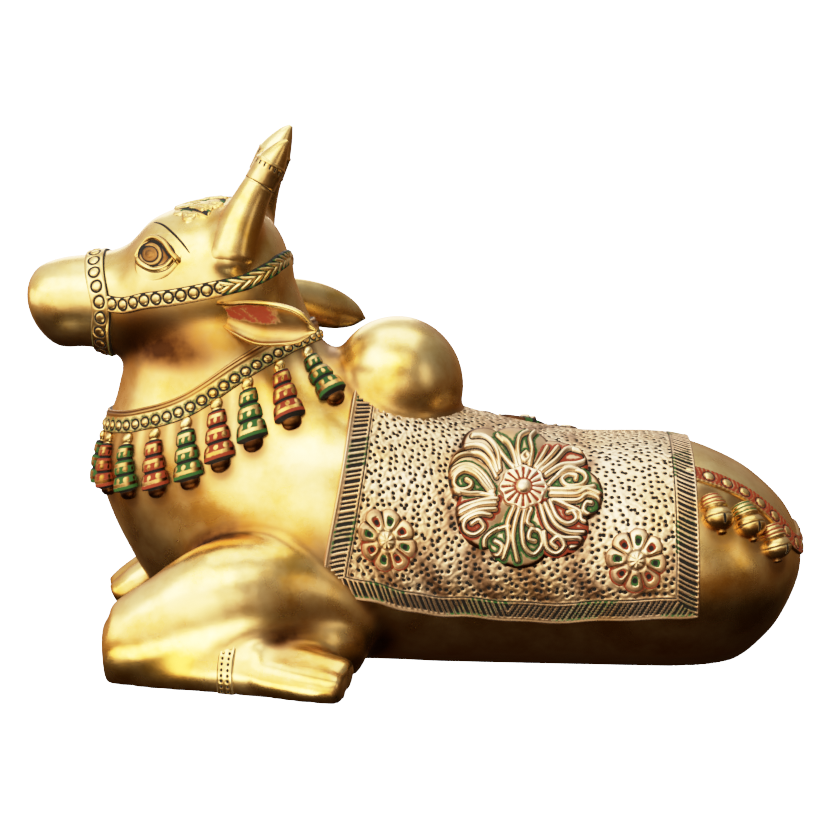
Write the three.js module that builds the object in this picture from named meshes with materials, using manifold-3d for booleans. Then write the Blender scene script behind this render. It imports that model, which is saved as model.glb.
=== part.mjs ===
// A reclining Nandi, the bull of temple figures, cast in brass as one solid piece. He lies with his
// near foreleg folded under him and his far hoof set forward, and wears horn caps, a halter, a collar
// of bells, a saddle cloth worked with flowers, and a strap of round bells over the rump.
// Millimetres, +Z up. The muzzle points along -X and the near side of the figure is -Y. The origin is
// on the flat underside, below the middle of the trunk.
import * as THREE from "three";
import { mergeVertices } from "three/addons/utils/BufferGeometryUtils.js";
import Module from "manifold-3d";

const wasm = await Module();
wasm.setup();

// The figure's length from muzzle to rump. The pose and the body forms are shares of it, in hundredths.
const LENGTH = 300;

// Saddle cloth, with a hem all round and a stepped lip at the hem.
const CLOTH_THICKNESS = 1.3;
const HEM_WIDTH = 8;
const HEM_LIP = 0.6;

// Flowers worked on the cloth: one large medallion and two daisies on each side.
const MEDALLION_RADIUS = 31;
const MEDALLION_HEIGHT = 3.2;
const MEDALLION_BOSS_RADIUS = 8.5;
const DAISY_RADIUS = 11.5;
const DAISY_HEIGHT = 2;
const DAISY_BEAD_RADIUS = 3;

// Straps: the collar round the neck, the halter on the head and the crupper over the rump.
const COLLAR_WIDTH = 9;
const COLLAR_THICKNESS = 1.4;
const NOSEBAND_WIDTH = 8;
const NOSEBAND_THICKNESS = 1.5;
const CHEEK_STRAP_WIDTH = 6.5;
const CHEEK_STRAP_THICKNESS = 1.2;
const CRUPPER_WIDTH = 8;
const CRUPPER_THICKNESS = 1;

// Long bells on the collar and round bells on the crupper. Each lies on the body with its middle
// standing out of it by a share of the bell's radius, and is as deep as wide times its flatness.
const COLLAR_BELL_LENGTH = 24;
const COLLAR_BELL_RADIUS = 6;
const COLLAR_BELL_FLATNESS = 0.62;
const COLLAR_BELL_SPACING = 13.2;
const CRUPPER_BELL_LENGTH = 15;
const CRUPPER_BELL_RADIUS = 5.6;
const CRUPPER_BELL_FLATNESS = 0.9;
const BELL_STAND = 0.18;

// Eyes, the crest on the brow, the horn caps' grooves and the bangle on the folded foreleg.
const EYE_RADIUS = 8;
const EYE_HEIGHT = 2.2;
const PUPIL_RADIUS = 2.9;
const CREST_RADIUS = 22;
const CREST_HEIGHT = 0.5;
const HORN_CAP_LIP = 0.5;
const BANGLE_WIDTH = 7;
const BANGLE_THICKNESS = 0.8;

// Wall of the hollow ears, and how deep each worked-on piece is rooted in the metal below it.
const EAR_WALL = 2.6;
const ROOT_DEPTH = 4;

const { cos, sin, PI } = Math;
const share = (hundredths) => (hundredths * LENGTH) / 100;
const radians = THREE.MathUtils.degToRad;
const { clamp } = THREE.MathUtils;
const vector = (x, y, z) => new THREE.Vector3(x, y, z);

// Evenly spaced values from one number to another, with both ends.
function steps(from, to, count) {
  return Array.from({ length: count + 1 }, (_, i) => from + ((to - from) * i) / count);
}

// A smooth curve through a row of keys, each a list of numbers, at index u of the row.
function along(keys, u) {
  const last = keys.length - 1;
  const i = clamp(Math.floor(u), 0, last - 1);
  const f = u - i;
  const [a, b, c, d] = [i - 1, i, i + 1, i + 2].map((k) => keys[clamp(k, 0, last)]);
  const curve = (p, q, r, s) =>
    q + 0.5 * f * (r - p + f * (2 * p - 5 * q + 4 * r - s + f * (3 * (q - r) + s - p)));
  return b.map((_, n) => curve(a[n], b[n], c[n], d[n]));
}

// Turns a closed three.js geometry into a solid, outside out whichever way its faces were wound.
function solid(geometry) {
  const bare = new THREE.BufferGeometry().setAttribute("position", geometry.getAttribute("position"));
  const merged = mergeVertices(bare.setIndex(geometry.index), 1e-4);
  const corners = merged.index.array;
  const kept = [];
  for (let i = 0; i < corners.length; i += 3) {
    const [a, b, c] = corners.subarray(i, i + 3);
    if (a !== b && b !== c && c !== a) kept.push(a, b, c);
  }
  const vertProperties = new Float32Array(merged.attributes.position.array);
  const build = (list) =>
    new wasm.Manifold(new wasm.Mesh({ numProp: 3, vertProperties, triVerts: new Uint32Array(list) }));
  const made = build(kept);
  return made.volume() > 0 ? made : build(kept.reverse());
}

const join = (solids) => solids.reduce((whole, next) => whole.add(next));

// Rows of points as one closed solid. Each row is a ring. The first and last ring close with a cap,
// or meet each other where the rows run round a hoop.
function shell(rows, isHoop = false) {
  const around = rows[0].length;
  const positions = rows.flat().flatMap((p) => p.toArray());
  const faces = [];
  const quad = (a, b, c, d) => faces.push(a, b, d, a, d, c);
  for (let i = 0; i < rows.length - (isHoop ? 0 : 1); i++) {
    const [here, next] = [i * around, ((i + 1) % rows.length) * around];
    for (let j = 0; j < around; j++) {
      const k = (j + 1) % around;
      quad(here + j, here + k, next + j, next + k);
    }
  }
  if (!isHoop) {
    for (const [row, flip] of [[0, true], [rows.length - 1, false]]) {
      const pole = positions.length / 3;
      const middle = rows[row].reduce((sum, p) => sum.add(p), vector(0, 0, 0)).divideScalar(around);
      positions.push(...middle.toArray());
      for (let j = 0; j < around; j++) {
        const [a, b] = [row * around + j, row * around + ((j + 1) % around)];
        faces.push(pole, ...(flip ? [b, a] : [a, b]));
      }
    }
  }
  const geometry = new THREE.BufferGeometry();
  geometry.setAttribute("position", new THREE.Float32BufferAttribute(positions, 3));
  return solid(geometry.setIndex(faces));
}

// A body form is a row of ribs. Each rib is a ring that stands in the middle plane from its back point
// to its belly point, and is as wide as its half width: [back x, back z, belly x, belly z, half width].
// A point of it is found by rib index and turn. Turn 0 is the back, and a plus turn is the near side.
function ribPoint(ribs, index, turn, bulge = 0) {
  const [backX, backZ, bellyX, bellyZ, width] = along(ribs, index).map(share);
  const rise = cos(turn) / 2;
  return vector(
    (backX + bellyX) / 2 + (backX - bellyX) * rise,
    -(width + bulge) * sin(turn),
    (backZ + bellyZ) / 2 + (backZ - bellyZ) * rise,
  );
}

// The trunk runs from the rump over the back and fans round the hump into the neck.
const TRUNK = [
  [50.0, 12.7, 50.0, 12.7, 0],
  [49.3, 16.2, 48.8, 8.2, 6.5],
  [46.9, 20.1, 45.6, 2.4, 11.2],
  [41.3, 24.5, 40.6, -1.7, 14.6],
  [33.0, 27.4, 33.6, -3.4, 16.2],
  [20.7, 27.7, 20.7, -3.6, 16.4],
  [9.3, 29.7, 8.0, -3.7, 16.7],
  [0.5, 32.7, -1.5, -3.6, 16.8],
  [-7.2, 36.0, -10.0, -3.2, 16.8],
  [-9.6, 37.9, -21.5, -2.4, 16.4],
  [-10.8, 38.6, -31.5, 3.4, 15.3],
  [-11.6, 39.2, -37.8, 12.7, 14.0],
  [-12.2, 39.9, -41.0, 20.9, 12.7],
  [-13.0, 41.4, -40.7, 27.0, 11.4],
  [-14.2, 44.0, -38.9, 32.3, 10.4],
  [-15.4, 47.2, -37.7, 36.3, 9.4],
  [-16.9, 50.7, -34.7, 40.7, 8.0],
  [-25.3, 46.7, -25.3, 46.7, 0],
];

// Soft swellings of the trunk: [index, turn in degrees, spread in index, spread in degrees, height].
const SWELLINGS = [
  [3.4, 98, 1.3, 38, 0.7],
  [9.0, 104, 1.2, 26, 0.6],
];

function trunkPoint(index, turn) {
  const side = Math.abs(turn);
  const swell = ([atIndex, atTurn, wide, high, height]) => {
    const [onward, across] = [(index - atIndex) / wide, (side - radians(atTurn)) / radians(high)];
    return share(height) * Math.exp(-(onward ** 2) - across ** 2);
  };
  return ribPoint(TRUNK, index, turn, SWELLINGS.reduce((sum, form) => sum + swell(form), 0));
}

// The head runs from the muzzle to the poll, behind the horns.
const HEAD = [
  [-50.0, 44.9, -50.0, 44.9, 0],
  [-49.6, 47.8, -49.5, 42.4, 3.8],
  [-48.3, 49.3, -48.2, 40.0, 5.3],
  [-45.6, 50.2, -46.1, 38.5, 6.0],
  [-42.3, 50.6, -42.6, 38.5, 6.2],
  [-39.3, 51.1, -39.3, 37.7, 6.4],
  [-36.7, 52.2, -36.0, 36.1, 7.2],
  [-33.7, 55.1, -32.7, 34.8, 8.5],
  [-30.3, 56.7, -28.7, 34.6, 9.4],
  [-26.0, 57.8, -24.0, 35.3, 9.8],
  [-22.0, 57.7, -20.0, 36.7, 9.2],
  [-18.9, 55.4, -17.5, 39.0, 7.7],
  [-16.9, 52.2, -16.1, 42.0, 5.0],
  [-16.0, 47.3, -16.0, 47.3, 0],
];
const headPoint = (index, turn) => ribPoint(HEAD, index, turn);

// A ribbed form as a solid, with its rings at the given indices.
function ribbed(surface, indices, around) {
  const turns = steps(0, 2 * PI, around).slice(1);
  return shell(indices.map((index) => turns.map((turn) => surface(index, turn))));
}

// Where a piece sits on a form: the point, the outward normal, the ways that index and turn run there,
// and the millimetres that one step of index and one radian of turn cover.
function seat(surface, index, turn) {
  const step = 0.01;
  const here = surface(index, turn);
  const onward = surface(index + step, turn).sub(here);
  const across = surface(index, turn + step).sub(here);
  const [perIndex, perTurn] = [onward.length() / step, across.length() / step];
  const normal = onward.clone().cross(across).normalize();
  const isInward = surface(index, turn + PI).sub(here).dot(normal) > 0;
  if (isInward) {
    normal.negate();
  }
  return { here, normal, onward: onward.normalize(), across: across.normalize(), perIndex, perTurn };
}

// A sheet laid on a form over a grid of indices and turns. It stands proud by rise and is rooted below.
function sheet(surface, indices, turns, rise) {
  const layer = (height) =>
    indices.map((index) =>
      turns.map((turn) => {
        const { here, normal } = seat(surface, index, turn);
        return here.addScaledVector(normal, height(index, turn));
      }),
    );
  const foot = layer(() => -ROOT_DEPTH);
  return shell(layer(rise).map((row, i) => [...row, ...foot[i].reverse()]));
}

// A strap along a route of [index, turn in degrees] keys. Where it is a hoop its end meets its start.
function strap(surface, route, width, thickness, count, isHoop = false) {
  const last = route.length - 1;
  const centre = (u) => {
    const [index, degrees] = along(route, u);
    return seat(surface, index, radians(degrees));
  };
  const rows = steps(0, last, count).map((u) => {
    const { here, normal } = centre(u);
    const ahead = centre(clamp(u + 0.02, 0, last)).here.sub(centre(clamp(u - 0.02, 0, last)).here);
    const side = ahead.cross(normal).normalize().multiplyScalar(width / 2);
    const corner = (s, height) => here.clone().addScaledVector(side, s).addScaledVector(normal, height);
    return [corner(-1, -ROOT_DEPTH), corner(-1, thickness), corner(1, thickness), corner(1, -ROOT_DEPTH)];
  });
  return shell(isHoop ? rows.slice(1) : rows, isHoop);
}

// A round relief on a form. Its edge is a share of the radius by angle, and each ring is
// [share of the edge, height, how much the petals lift it].
function rosette(surface, [index, degrees], radius, edge, rings, spokes, petal = () => 1) {
  const turn = radians(degrees);
  const { perIndex, perTurn } = seat(surface, index, turn);
  const ring = ([reach, height, lift]) =>
    steps(0, 2 * PI, spokes).slice(1).map((angle) => {
      const r = radius * edge(angle) * reach;
      const [at, round] = [index + (r * cos(angle)) / perIndex, turn + (r * sin(angle)) / perTurn];
      const { here, normal } = seat(surface, at, round);
      return here.addScaledVector(normal, height * (1 - lift + lift * petal(angle)));
    });
  return shell([ring([1, -ROOT_DEPTH, 0]), ...rings.map(ring)]);
}

// A turned piece, such as a bell, lying on a form. Its profile is [share of length, share of radius].
// Its top hangs a drop below its seat, and it keeps to the form as it goes down.
function turned(surface, [index, degrees], hang, drop, length, radius, flatness, profile, sides) {
  let [at, turn] = [index, radians(degrees)];
  let reached = -drop;
  const angles = steps(0, 2 * PI, sides).slice(1);
  const rings = profile.map(([down, wide]) => {
    const place = seat(surface, at, turn);
    const way = hang.clone().projectOnPlane(place.normal).normalize();
    const step = down * length - reached;
    reached = down * length;
    at += (step * way.dot(place.onward)) / place.perIndex;
    turn += (step * way.dot(place.across)) / place.perTurn;
    const { here, normal } = seat(surface, at, turn);
    const side = way.clone().cross(normal);
    return angles.map((a) =>
      here.clone()
        .addScaledVector(side, wide * radius * cos(a))
        .addScaledVector(normal, wide * radius * (flatness * sin(a) + BELL_STAND)),
    );
  });
  return shell(rings);
}

// A point of a limb, swept along keys of [x, y, z, half thickness, half height], at index u and turn.
function limbPoint(keys, u, turn, fullness = 1) {
  const last = keys.length - 1;
  const [x, y, z, thick, high] = along(keys, u).map(share);
  const [ax, ay, az] = along(keys, clamp(u + 0.05, 0, last));
  const [bx, by, bz] = along(keys, clamp(u - 0.05, 0, last));
  const ahead = vector(ax - bx, ay - by, az - bz).normalize();
  const side = vector(0, 0, 1).cross(ahead).normalize();
  const up = ahead.clone().cross(side);
  return vector(x, y, z)
    .addScaledVector(side, thick * fullness * cos(turn))
    .addScaledVector(up, high * fullness * sin(turn));
}

// A limb as a solid with rounded ends.
function limb(keys, rings, around) {
  const last = keys.length - 1;
  const turns = steps(0, 2 * PI, around).slice(1);
  return shell(
    steps(-1, 1, rings).map((e) => {
      const u = (last * (1 + sin((e * PI) / 2))) / 2;
      return turns.map((turn) => limbPoint(keys, u, turn, (1 - Math.abs(e) ** 5) ** 0.5));
    }),
  );
}

function ellipsoid(centre, radii, around, rings) {
  const ball = new THREE.SphereGeometry(1, around, rings);
  ball.rotateX(PI / 2);
  ball.scale(...radii.map(share));
  ball.translate(...centre.map(share));
  return solid(ball);
}

// The trunk with neck, the head, and the smooth round hump that stands up out of the cloth.
function body() {
  return [
    ribbed(trunkPoint, [0, 0.3, ...steps(0.7, 16, 16), 17], 20),
    ribbed(headPoint, [0, 0.3, 0.8, ...steps(1.4, 12.4, 12), 13], 14),
    ellipsoid([-2.2, 0, 33.8], [8.6, 8.7, 9.0], 14, 9),
  ];
}

// The near foreleg is folded under with its hoof turned back, and the far one reaches forward. The
// hind legs lie tucked to the far side. Each hoof is cleft into two toes.
const NEAR_FOREARM = [
  [-5.0, -10.5, 4.0, 6.0, 5.6],
  [-13.0, -13.6, 8.2, 6.8, 8.4],
  [-21.0, -17.4, 9.0, 6.9, 8.2],
  [-28.5, -19.2, 6.2, 5.6, 6.6],
  [-33.8, -19.7, 4.0, 4.4, 5.5],
  [-36.3, -19.7, 3.7, 3.2, 4.4],
];
const NEAR_SHANK = [
  [-33.0, -19.9, 2.5, 3.6, 4.3],
  [-26.5, -20.7, 2.2, 3.6, 4.7],
  [-20.5, -21.7, 2.0, 3.4, 4.4],
  [-15.5, -22.8, 2.0, 3.8, 4.5],
];
const FAR_FOREARM = [
  [-9.0, 11.2, 13.0, 6.5, 8.5],
  [-20.0, 16.6, 11.5, 6.3, 7.2],
  [-29.5, 17.2, 9.2, 4.8, 5.0],
  [-35.0, 15.8, 7.0, 3.9, 4.2],
  [-38.6, 14.6, 5.0, 3.9, 3.9],
];
const HAUNCH = [
  [39.0, 8.5, 5.8, 6.0, 7.8],
  [31.0, 13.0, 5.8, 6.8, 6.8],
  [23.0, 16.2, 5.2, 6.2, 6.0],
  [16.0, 18.2, 4.4, 5.0, 5.0],
];
const HIND_SHANK = [
  [41.0, 13.0, 3.6, 4.4, 4.6],
  [33.0, 17.5, 3.2, 3.6, 4.0],
  [24.0, 20.5, 2.6, 3.3, 3.4],
  [15.5, 22.0, 2.2, 3.6, 3.4],
];

// Each hoof runs from its pastern to its tip, and its two toes are parted either way by a sideways step.
const HOOVES = [
  { from: [-17.2, -22.7, 2.8], to: [-6.2, -25.0, 1.6], part: [0.3, 1.2, 0.5] },
  { from: [-37.6, 14.8, 5.2], to: [-43.6, 13.2, 1.5], part: [0.5, -1.9, 0] },
  { from: [17.4, 21.8, 2.6], to: [8.2, 23.0, 1.7], part: [0.2, 1.7, 0.3] },
];

function hoof({ from, to, part }) {
  return [-1, 1].map((side) => {
    const shifted = (point) => point.map((value, n) => value + side * part[n]);
    const middle = from.map((value, n) => (value + to[n]) / 2);
    const keys = [
      [...shifted(from), 2.4, 2.6],
      [...shifted(middle), 2.6, 2.5],
      [...shifted(to), 2.1, 2.0],
    ];
    return limb(keys, 5, 6);
  });
}

function legs() {
  return [
    limb(NEAR_FOREARM, 9, 11),
    limb(NEAR_SHANK, 6, 8),
    ellipsoid([-12.8, -14.2, 3.4], [8.2, 7.4, 6.6], 10, 8),
    limb(FAR_FOREARM, 7, 9),
    limb(HAUNCH, 6, 9),
    limb(HIND_SHANK, 6, 7),
    ...HOOVES.flatMap(hoof),
  ];
}

// The tail falls from the rump over the far haunch and ends in a tuft.
const TAIL = [
  [49.0, 1.5, 14.0, 1.5, 1.5],
  [48.2, 8.5, 12.5, 1.5, 1.5],
  [42.0, 15.6, 12.4, 1.4, 1.4],
  [36.0, 18.2, 12.6, 1.4, 1.4],
  [31.5, 20.5, 9.4, 2.2, 2.2],
  [30.0, 21.6, 5.6, 1.2, 1.2],
];

// Horns rise side by side from the temples, the far one a little higher: [x, y, z, radius]. Each wears
// a cap that stands proud of the horn, and is rounded off at its root.
const NEAR_HORN = [
  [-22.5, -7.6, 48.4, 3.0],
  [-22.3, -7.0, 50.7, 3.2],
  [-21.4, -6.1, 54.4, 2.8],
  [-19.9, -5.4, 58.0, 2.15],
  [-18.7, -5.0, 60.2, 1.9],
  [-17.5, -4.7, 62.3, 1.8],
  [-16.2, -4.6, 64.2, 0.95],
  [-15.4, -4.5, 65.0, 0.25],
];
const FAR_HORN = NEAR_HORN.map(([x, y, z, radius], i) => {
  const fuller = 0.33 * sin((PI * i) / (NEAR_HORN.length - 1));
  return [x - 0.13 * i - fuller, -y, z + 0.29 * i, radius + fuller];
});
const HORN_CAP = [3.7, 5];
const HORN_ROOT_END = 0.5;

function horn(form) {
  const keys = form.map(([x, y, z, radius]) => [x, y, z, radius, radius]);
  const [start, end] = HORN_CAP;
  const stations = [0, 0.1, HORN_ROOT_END, 1, 2, 2.8, start - 0.02, start, end, end + 0.02, 6, 6.6, 7];
  const turns = steps(0, 2 * PI, 8).slice(1);
  const radius = (u) => share(along(form, u)[3]);
  const lip = (u) => (u >= start && u <= end ? (radius(u) + HORN_CAP_LIP) / radius(u) : 1);
  const rootEnd = (u) => (u < HORN_ROOT_END ? 0.5 + 0.5 * (1 - (1 - u / HORN_ROOT_END) ** 2) ** 0.5 : 1);
  return shell(stations.map((u) => turns.map((turn) => limbPoint(keys, u, turn, rootEnd(u) * lip(u)))));
}

// A hollow leaf-shaped ear from root to tip: [x, y, z, half height, depth]. The far one is swept back.
const NEAR_EAR = [
  [-24.4, -8.2, 43.9, 1.5, 1.6],
  [-21.6, -11.4, 43.4, 2.2, 2.0],
  [-18.6, -13.8, 43.1, 2.9, 2.3],
  [-15.4, -15.4, 43.1, 2.75, 2.1],
  [-12.6, -16.2, 42.9, 2.0, 1.5],
  [-10.6, -16.6, 42.5, 0.2, 0.5],
];
const FAR_EAR = [
  [-20.2, 7.0, 45.0, 2.0, 1.8],
  [-17.4, 10.0, 44.2, 2.7, 2.0],
  [-14.4, 12.6, 43.1, 3.0, 2.2],
  [-11.6, 14.4, 42.1, 2.6, 1.9],
  [-9.4, 15.6, 41.3, 1.6, 1.3],
  [-8.0, 16.2, 40.8, 0.2, 0.5],
];

function ear(keys, side) {
  const last = keys.length - 1;
  const arc = steps(0, PI, 4);
  return shell(
    steps(0, last, 7).map((u) => {
      const [x, y, z, high, deep] = along(keys, u).map(share);
      const [before, after] = [u - 0.1, u + 0.1].map((v) => vector(...along(keys, clamp(v, 0, last))));
      const ahead = after.sub(before);
      const open = vector(0, side, -0.25).projectOnPlane(ahead.normalize()).normalize();
      const across = ahead.cross(open).normalize();
      const lip = Math.min(EAR_WALL / 2, high * 0.45);
      const point = (a, half, depth) =>
        vector(x, y, z).addScaledVector(across, half * cos(a)).addScaledVector(open, -depth * sin(a));
      const back = arc.map((a) => point(a, high, deep));
      const hollow = Math.max(deep - EAR_WALL, 0);
      const bowl = arc.map((a) => point(a, high - lip, hollow).addScaledVector(open, lip / 2));
      return [...back, ...bowl.reverse()];
    }),
  );
}

// The cloth reaches from behind the hump to the rump and hangs down both sides, as [from, to] in rib
// index and in turn. Its front edge sweeps forwards at the foot, by an amount in rib index.
const CLOTH_INDEX = [3.74, 7.98];
const CLOTH_TURN = [radians(-108), radians(108)];
const CLOTH_SWEEP = 0.2;

function clothPoint(index, turn) {
  const ahead = (index - CLOTH_INDEX[0]) / (CLOTH_INDEX[1] - CLOTH_INDEX[0]);
  const down = THREE.MathUtils.smoothstep(Math.abs(turn) / CLOTH_TURN[1], 0.5, 1.05);
  return trunkPoint(index + CLOTH_SWEEP * ahead * down, turn);
}

function saddleCloth() {
  const { perIndex, perTurn } = seat(trunkPoint, 5.5, PI / 2);
  const widths = [HEM_WIDTH / perIndex, HEM_WIDTH / perTurn];
  const bands = ([from, to], width, count) => {
    const inner = steps(from + width, to - width, count);
    return [from, from + width * 0.98, ...inner, to - width * 0.98, to];
  };
  const indices = bands(CLOTH_INDEX, widths[0], 5);
  const turns = bands(CLOTH_TURN, widths[1], 12);
  const within = (value, [from, to], width) => value >= from + width - 1e-9 && value <= to - width + 1e-9;
  const rise = (index, turn) =>
    within(index, CLOTH_INDEX, widths[0]) && within(turn, CLOTH_TURN, widths[1])
      ? CLOTH_THICKNESS
      : CLOTH_THICKNESS + HEM_LIP;
  return sheet(clothPoint, indices, turns, rise);
}

// The flowers on the cloth. Their places are [index, turn in degrees] on the near side.
const MEDALLION = [5.58, 51];
const DAISIES = [
  [7.2, 83],
  [4.44, 79],
];

function flowers(side) {
  const mirrored = ([index, degrees]) => [index, side * degrees];
  const lobe = (angle) => 0.5 + 0.5 * cos(8 * angle);
  const boss = MEDALLION_BOSS_RADIUS / MEDALLION_RADIUS;
  const bead = DAISY_BEAD_RADIUS / DAISY_RADIUS;
  const medallion = [
    [1, CLOTH_THICKNESS + 0.5 * MEDALLION_HEIGHT, 0],
    [0.84, CLOTH_THICKNESS + MEDALLION_HEIGHT, 0.35],
    [1.15 * boss, CLOTH_THICKNESS + 0.6 * MEDALLION_HEIGHT, 0],
    [boss, CLOTH_THICKNESS + MEDALLION_HEIGHT, 0],
    [0.4 * boss, CLOTH_THICKNESS + 1.4 * MEDALLION_HEIGHT, 0],
  ];
  const daisy = [
    [1, CLOTH_THICKNESS + 0.7 * DAISY_HEIGHT, 0],
    [0.6, CLOTH_THICKNESS + DAISY_HEIGHT, 0.25],
    [1.1 * bead, CLOTH_THICKNESS + 0.6 * DAISY_HEIGHT, 0],
    [0.7 * bead, CLOTH_THICKNESS + DAISY_HEIGHT + 0.4 * DAISY_BEAD_RADIUS, 0],
  ];
  const edge = (angle) => 0.87 + 0.13 * lobe(angle);
  return [
    rosette(trunkPoint, mirrored(MEDALLION), MEDALLION_RADIUS, edge, medallion, 24, lobe),
    ...DAISIES.map((place) => rosette(trunkPoint, mirrored(place), DAISY_RADIUS, edge, daisy, 16, lobe)),
  ];
}

// The collar circles the neck: rib index by turn, from the nape at 0 to the chest at 180 degrees.
const COLLAR = [
  [12.55, 0],
  [12.85, 30],
  [12.87, 60],
  [12.66, 90],
  [12.97, 120],
  [13.29, 150],
  [13.4, 180],
];
const BELL_PROFILE = [
  [0, 0.45],
  [0.2, 0.5],
  [0.86, 1],
  [1, 0.5],
];
const COLLAR_BELL_HANG = vector(0.35, 0, -1);

function collar() {
  const otherSide = COLLAR.slice(0, -1).reverse().map(([index, degrees]) => [index, 360 - degrees]);
  const route = [...COLLAR, ...otherSide];
  const last = route.length - 1;
  const band = strap(trunkPoint, route, COLLAR_WIDTH, COLLAR_THICKNESS, 14, true);

  // The bells hang evenly along the collar, from one side of the nape round the chest to the other.
  const place = (u) => along(route, u);
  const fine = steps(0, last, 240);
  const run = [0];
  fine.slice(1).forEach((u, i) => {
    const [a, b] = [fine[i], u].map(place).map(([index, degrees]) => trunkPoint(index, radians(degrees)));
    run.push(run[i] + a.distanceTo(b));
  });
  const whole = run.at(-1);
  const count = Math.max(2 * Math.floor(whole / 2 / COLLAR_BELL_SPACING - 0.5), 2);
  const bells = steps(-(count - 1) / 2, (count - 1) / 2, count - 1).map((k) => {
    const at = whole / 2 + k * COLLAR_BELL_SPACING;
    const hook = place(fine[run.findIndex((length) => length >= at)]);
    return turned(
      trunkPoint, hook, COLLAR_BELL_HANG, COLLAR_WIDTH / 2, COLLAR_BELL_LENGTH, COLLAR_BELL_RADIUS,
      COLLAR_BELL_FLATNESS, BELL_PROFILE, 5,
    );
  });
  return [band, ...bells];
}

// The halter: a band round the muzzle, and a strap from it past each cheek and round behind the horns.
const NOSEBAND = [
  [4.35, 0],
  [4.62, 45],
  [5.03, 90],
  [4.9, 122],
  [4.7, 180],
];
const CHEEK_STRAP = [
  [5.2, 86],
  [7.3, 88.5],
  [8.6, 89.5],
  [9.9, 88.4],
  [10.5, 85],
  [11.2, 77],
  [11.7, 67],
  [12.2, 45],
  [12.4, 0],
];

function halter() {
  const mirror = (keys, full) =>
    keys.slice(0, -1).reverse().map(([index, degrees]) => [index, full - degrees]);
  const noseband = [...NOSEBAND, ...mirror(NOSEBAND, 360)];
  const cheeks = [...CHEEK_STRAP, ...mirror(CHEEK_STRAP, 0)];
  return [
    strap(headPoint, noseband, NOSEBAND_WIDTH, NOSEBAND_THICKNESS, 10, true),
    strap(headPoint, cheeks, CHEEK_STRAP_WIDTH, CHEEK_STRAP_THICKNESS, 12),
  ];
}

// Almond eyes with a heavy lid and a round pupil, and the leafy crest between the horns, which reaches
// forwards by a share of its reach to the sides.
const EYE = [7.36, 57];
const CREST = [8.75, 0];
const CREST_DEPTH = 0.62;

function face() {
  const almond = (angle) => 0.58 + 0.42 * Math.abs(cos(angle + 0.25)) ** 1.5;
  const round = () => 1;
  const lids = [[1, 0.4 * EYE_HEIGHT, 0], [0.8, 0.8 * EYE_HEIGHT, 0]];
  const pupil = [[1, EYE_HEIGHT, 0], [0.6, 1.2 * EYE_HEIGHT, 0]];
  const eyes = [-1, 1].flatMap((side) => {
    const place = [EYE[0], side * EYE[1]];
    return [
      rosette(headPoint, place, EYE_RADIUS, (angle) => almond(side * angle), lids, 10),
      rosette(headPoint, place, PUPIL_RADIUS, round, pupil, 6),
    ];
  });
  const leaf = (angle) => (0.85 + 0.15 * cos(5 * angle)) / Math.hypot(cos(angle) / CREST_DEPTH, sin(angle));
  const crest = rosette(
    headPoint, CREST, CREST_RADIUS, leaf, [[1, 0.5 * CREST_HEIGHT, 0], [0.5, CREST_HEIGHT, 0]], 10,
  );
  return [...eyes, crest];
}

// The crupper crosses the rump behind the cloth, and round bells hang from it.
const CRUPPER = [
  [3.9, 34],
  [3.2, 35],
  [2.65, 38],
  [2.15, 44],
  [1.6, 54],
  [0.95, 50],
  [0.8, 0],
];
const CRUPPER_BELLS = [
  [3.58, 46],
  [3.06, 45],
  [2.5, 51],
];
const ROUND_BELL_PROFILE = [
  [0, 0.5],
  [0.34, 0.85],
  [0.65, 1],
  [1, 0.4],
];

function crupper() {
  const otherSide = CRUPPER.slice(0, -1).reverse().map(([index, degrees]) => [index, -degrees]);
  const bells = [-1, 1].flatMap((side) =>
    CRUPPER_BELLS.map(([index, degrees]) =>
      turned(
        trunkPoint, [index, side * degrees], vector(0, 0, -1), 0, CRUPPER_BELL_LENGTH,
        CRUPPER_BELL_RADIUS, CRUPPER_BELL_FLATNESS, ROUND_BELL_PROFILE, 6,
      ),
    ),
  );
  return [strap(trunkPoint, [...CRUPPER, ...otherSide], CRUPPER_WIDTH, CRUPPER_THICKNESS, 10), ...bells];
}

// A bangle round the shank of the folded foreleg, at an index of its keys.
const BANGLE_AT = 2.08;

function bangle() {
  const shank = (u, turn) => limbPoint(NEAR_SHANK, u, turn);
  const route = steps(0, 360, 8).map((degrees) => [BANGLE_AT, degrees]);
  return strap(shank, route, BANGLE_WIDTH, BANGLE_THICKNESS, 10, true);
}

// Everything joined, and cut off flat where the figure rests.
function casting() {
  const figure = join([
    ...body(),
    ...legs(),
    limb(TAIL, 8, 5),
    horn(NEAR_HORN),
    horn(FAR_HORN),
    ear(NEAR_EAR, -1),
    ear(FAR_EAR, 1),
    saddleCloth(),
    ...flowers(-1),
    ...flowers(1),
    ...collar(),
    ...halter(),
    ...face(),
    ...crupper(),
    bangle(),
  ]);
  const below = new THREE.BoxGeometry(2 * LENGTH, 2 * LENGTH, LENGTH);
  below.translate(0, 0, -LENGTH / 2);
  return figure.subtract(solid(below));
}

function meshOf(manifold, name, material) {
  const { vertProperties, triVerts } = manifold.getMesh();
  const geometry = new THREE.BufferGeometry();
  geometry.setAttribute("position", new THREE.BufferAttribute(vertProperties, 3));
  geometry.setIndex(new THREE.BufferAttribute(triVerts, 1));
  geometry.computeVertexNormals();
  const mesh = new THREE.Mesh(geometry, material);
  mesh.name = name;
  return mesh;
}

const brass = new THREE.MeshStandardMaterial({ color: 0xc9a24a, roughness: 0.3, metalness: 1 });
const nandi = new THREE.Group();
nandi.add(meshOf(casting(), "nandi_bull", brass));

export default nandi;
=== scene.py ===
import math

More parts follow.
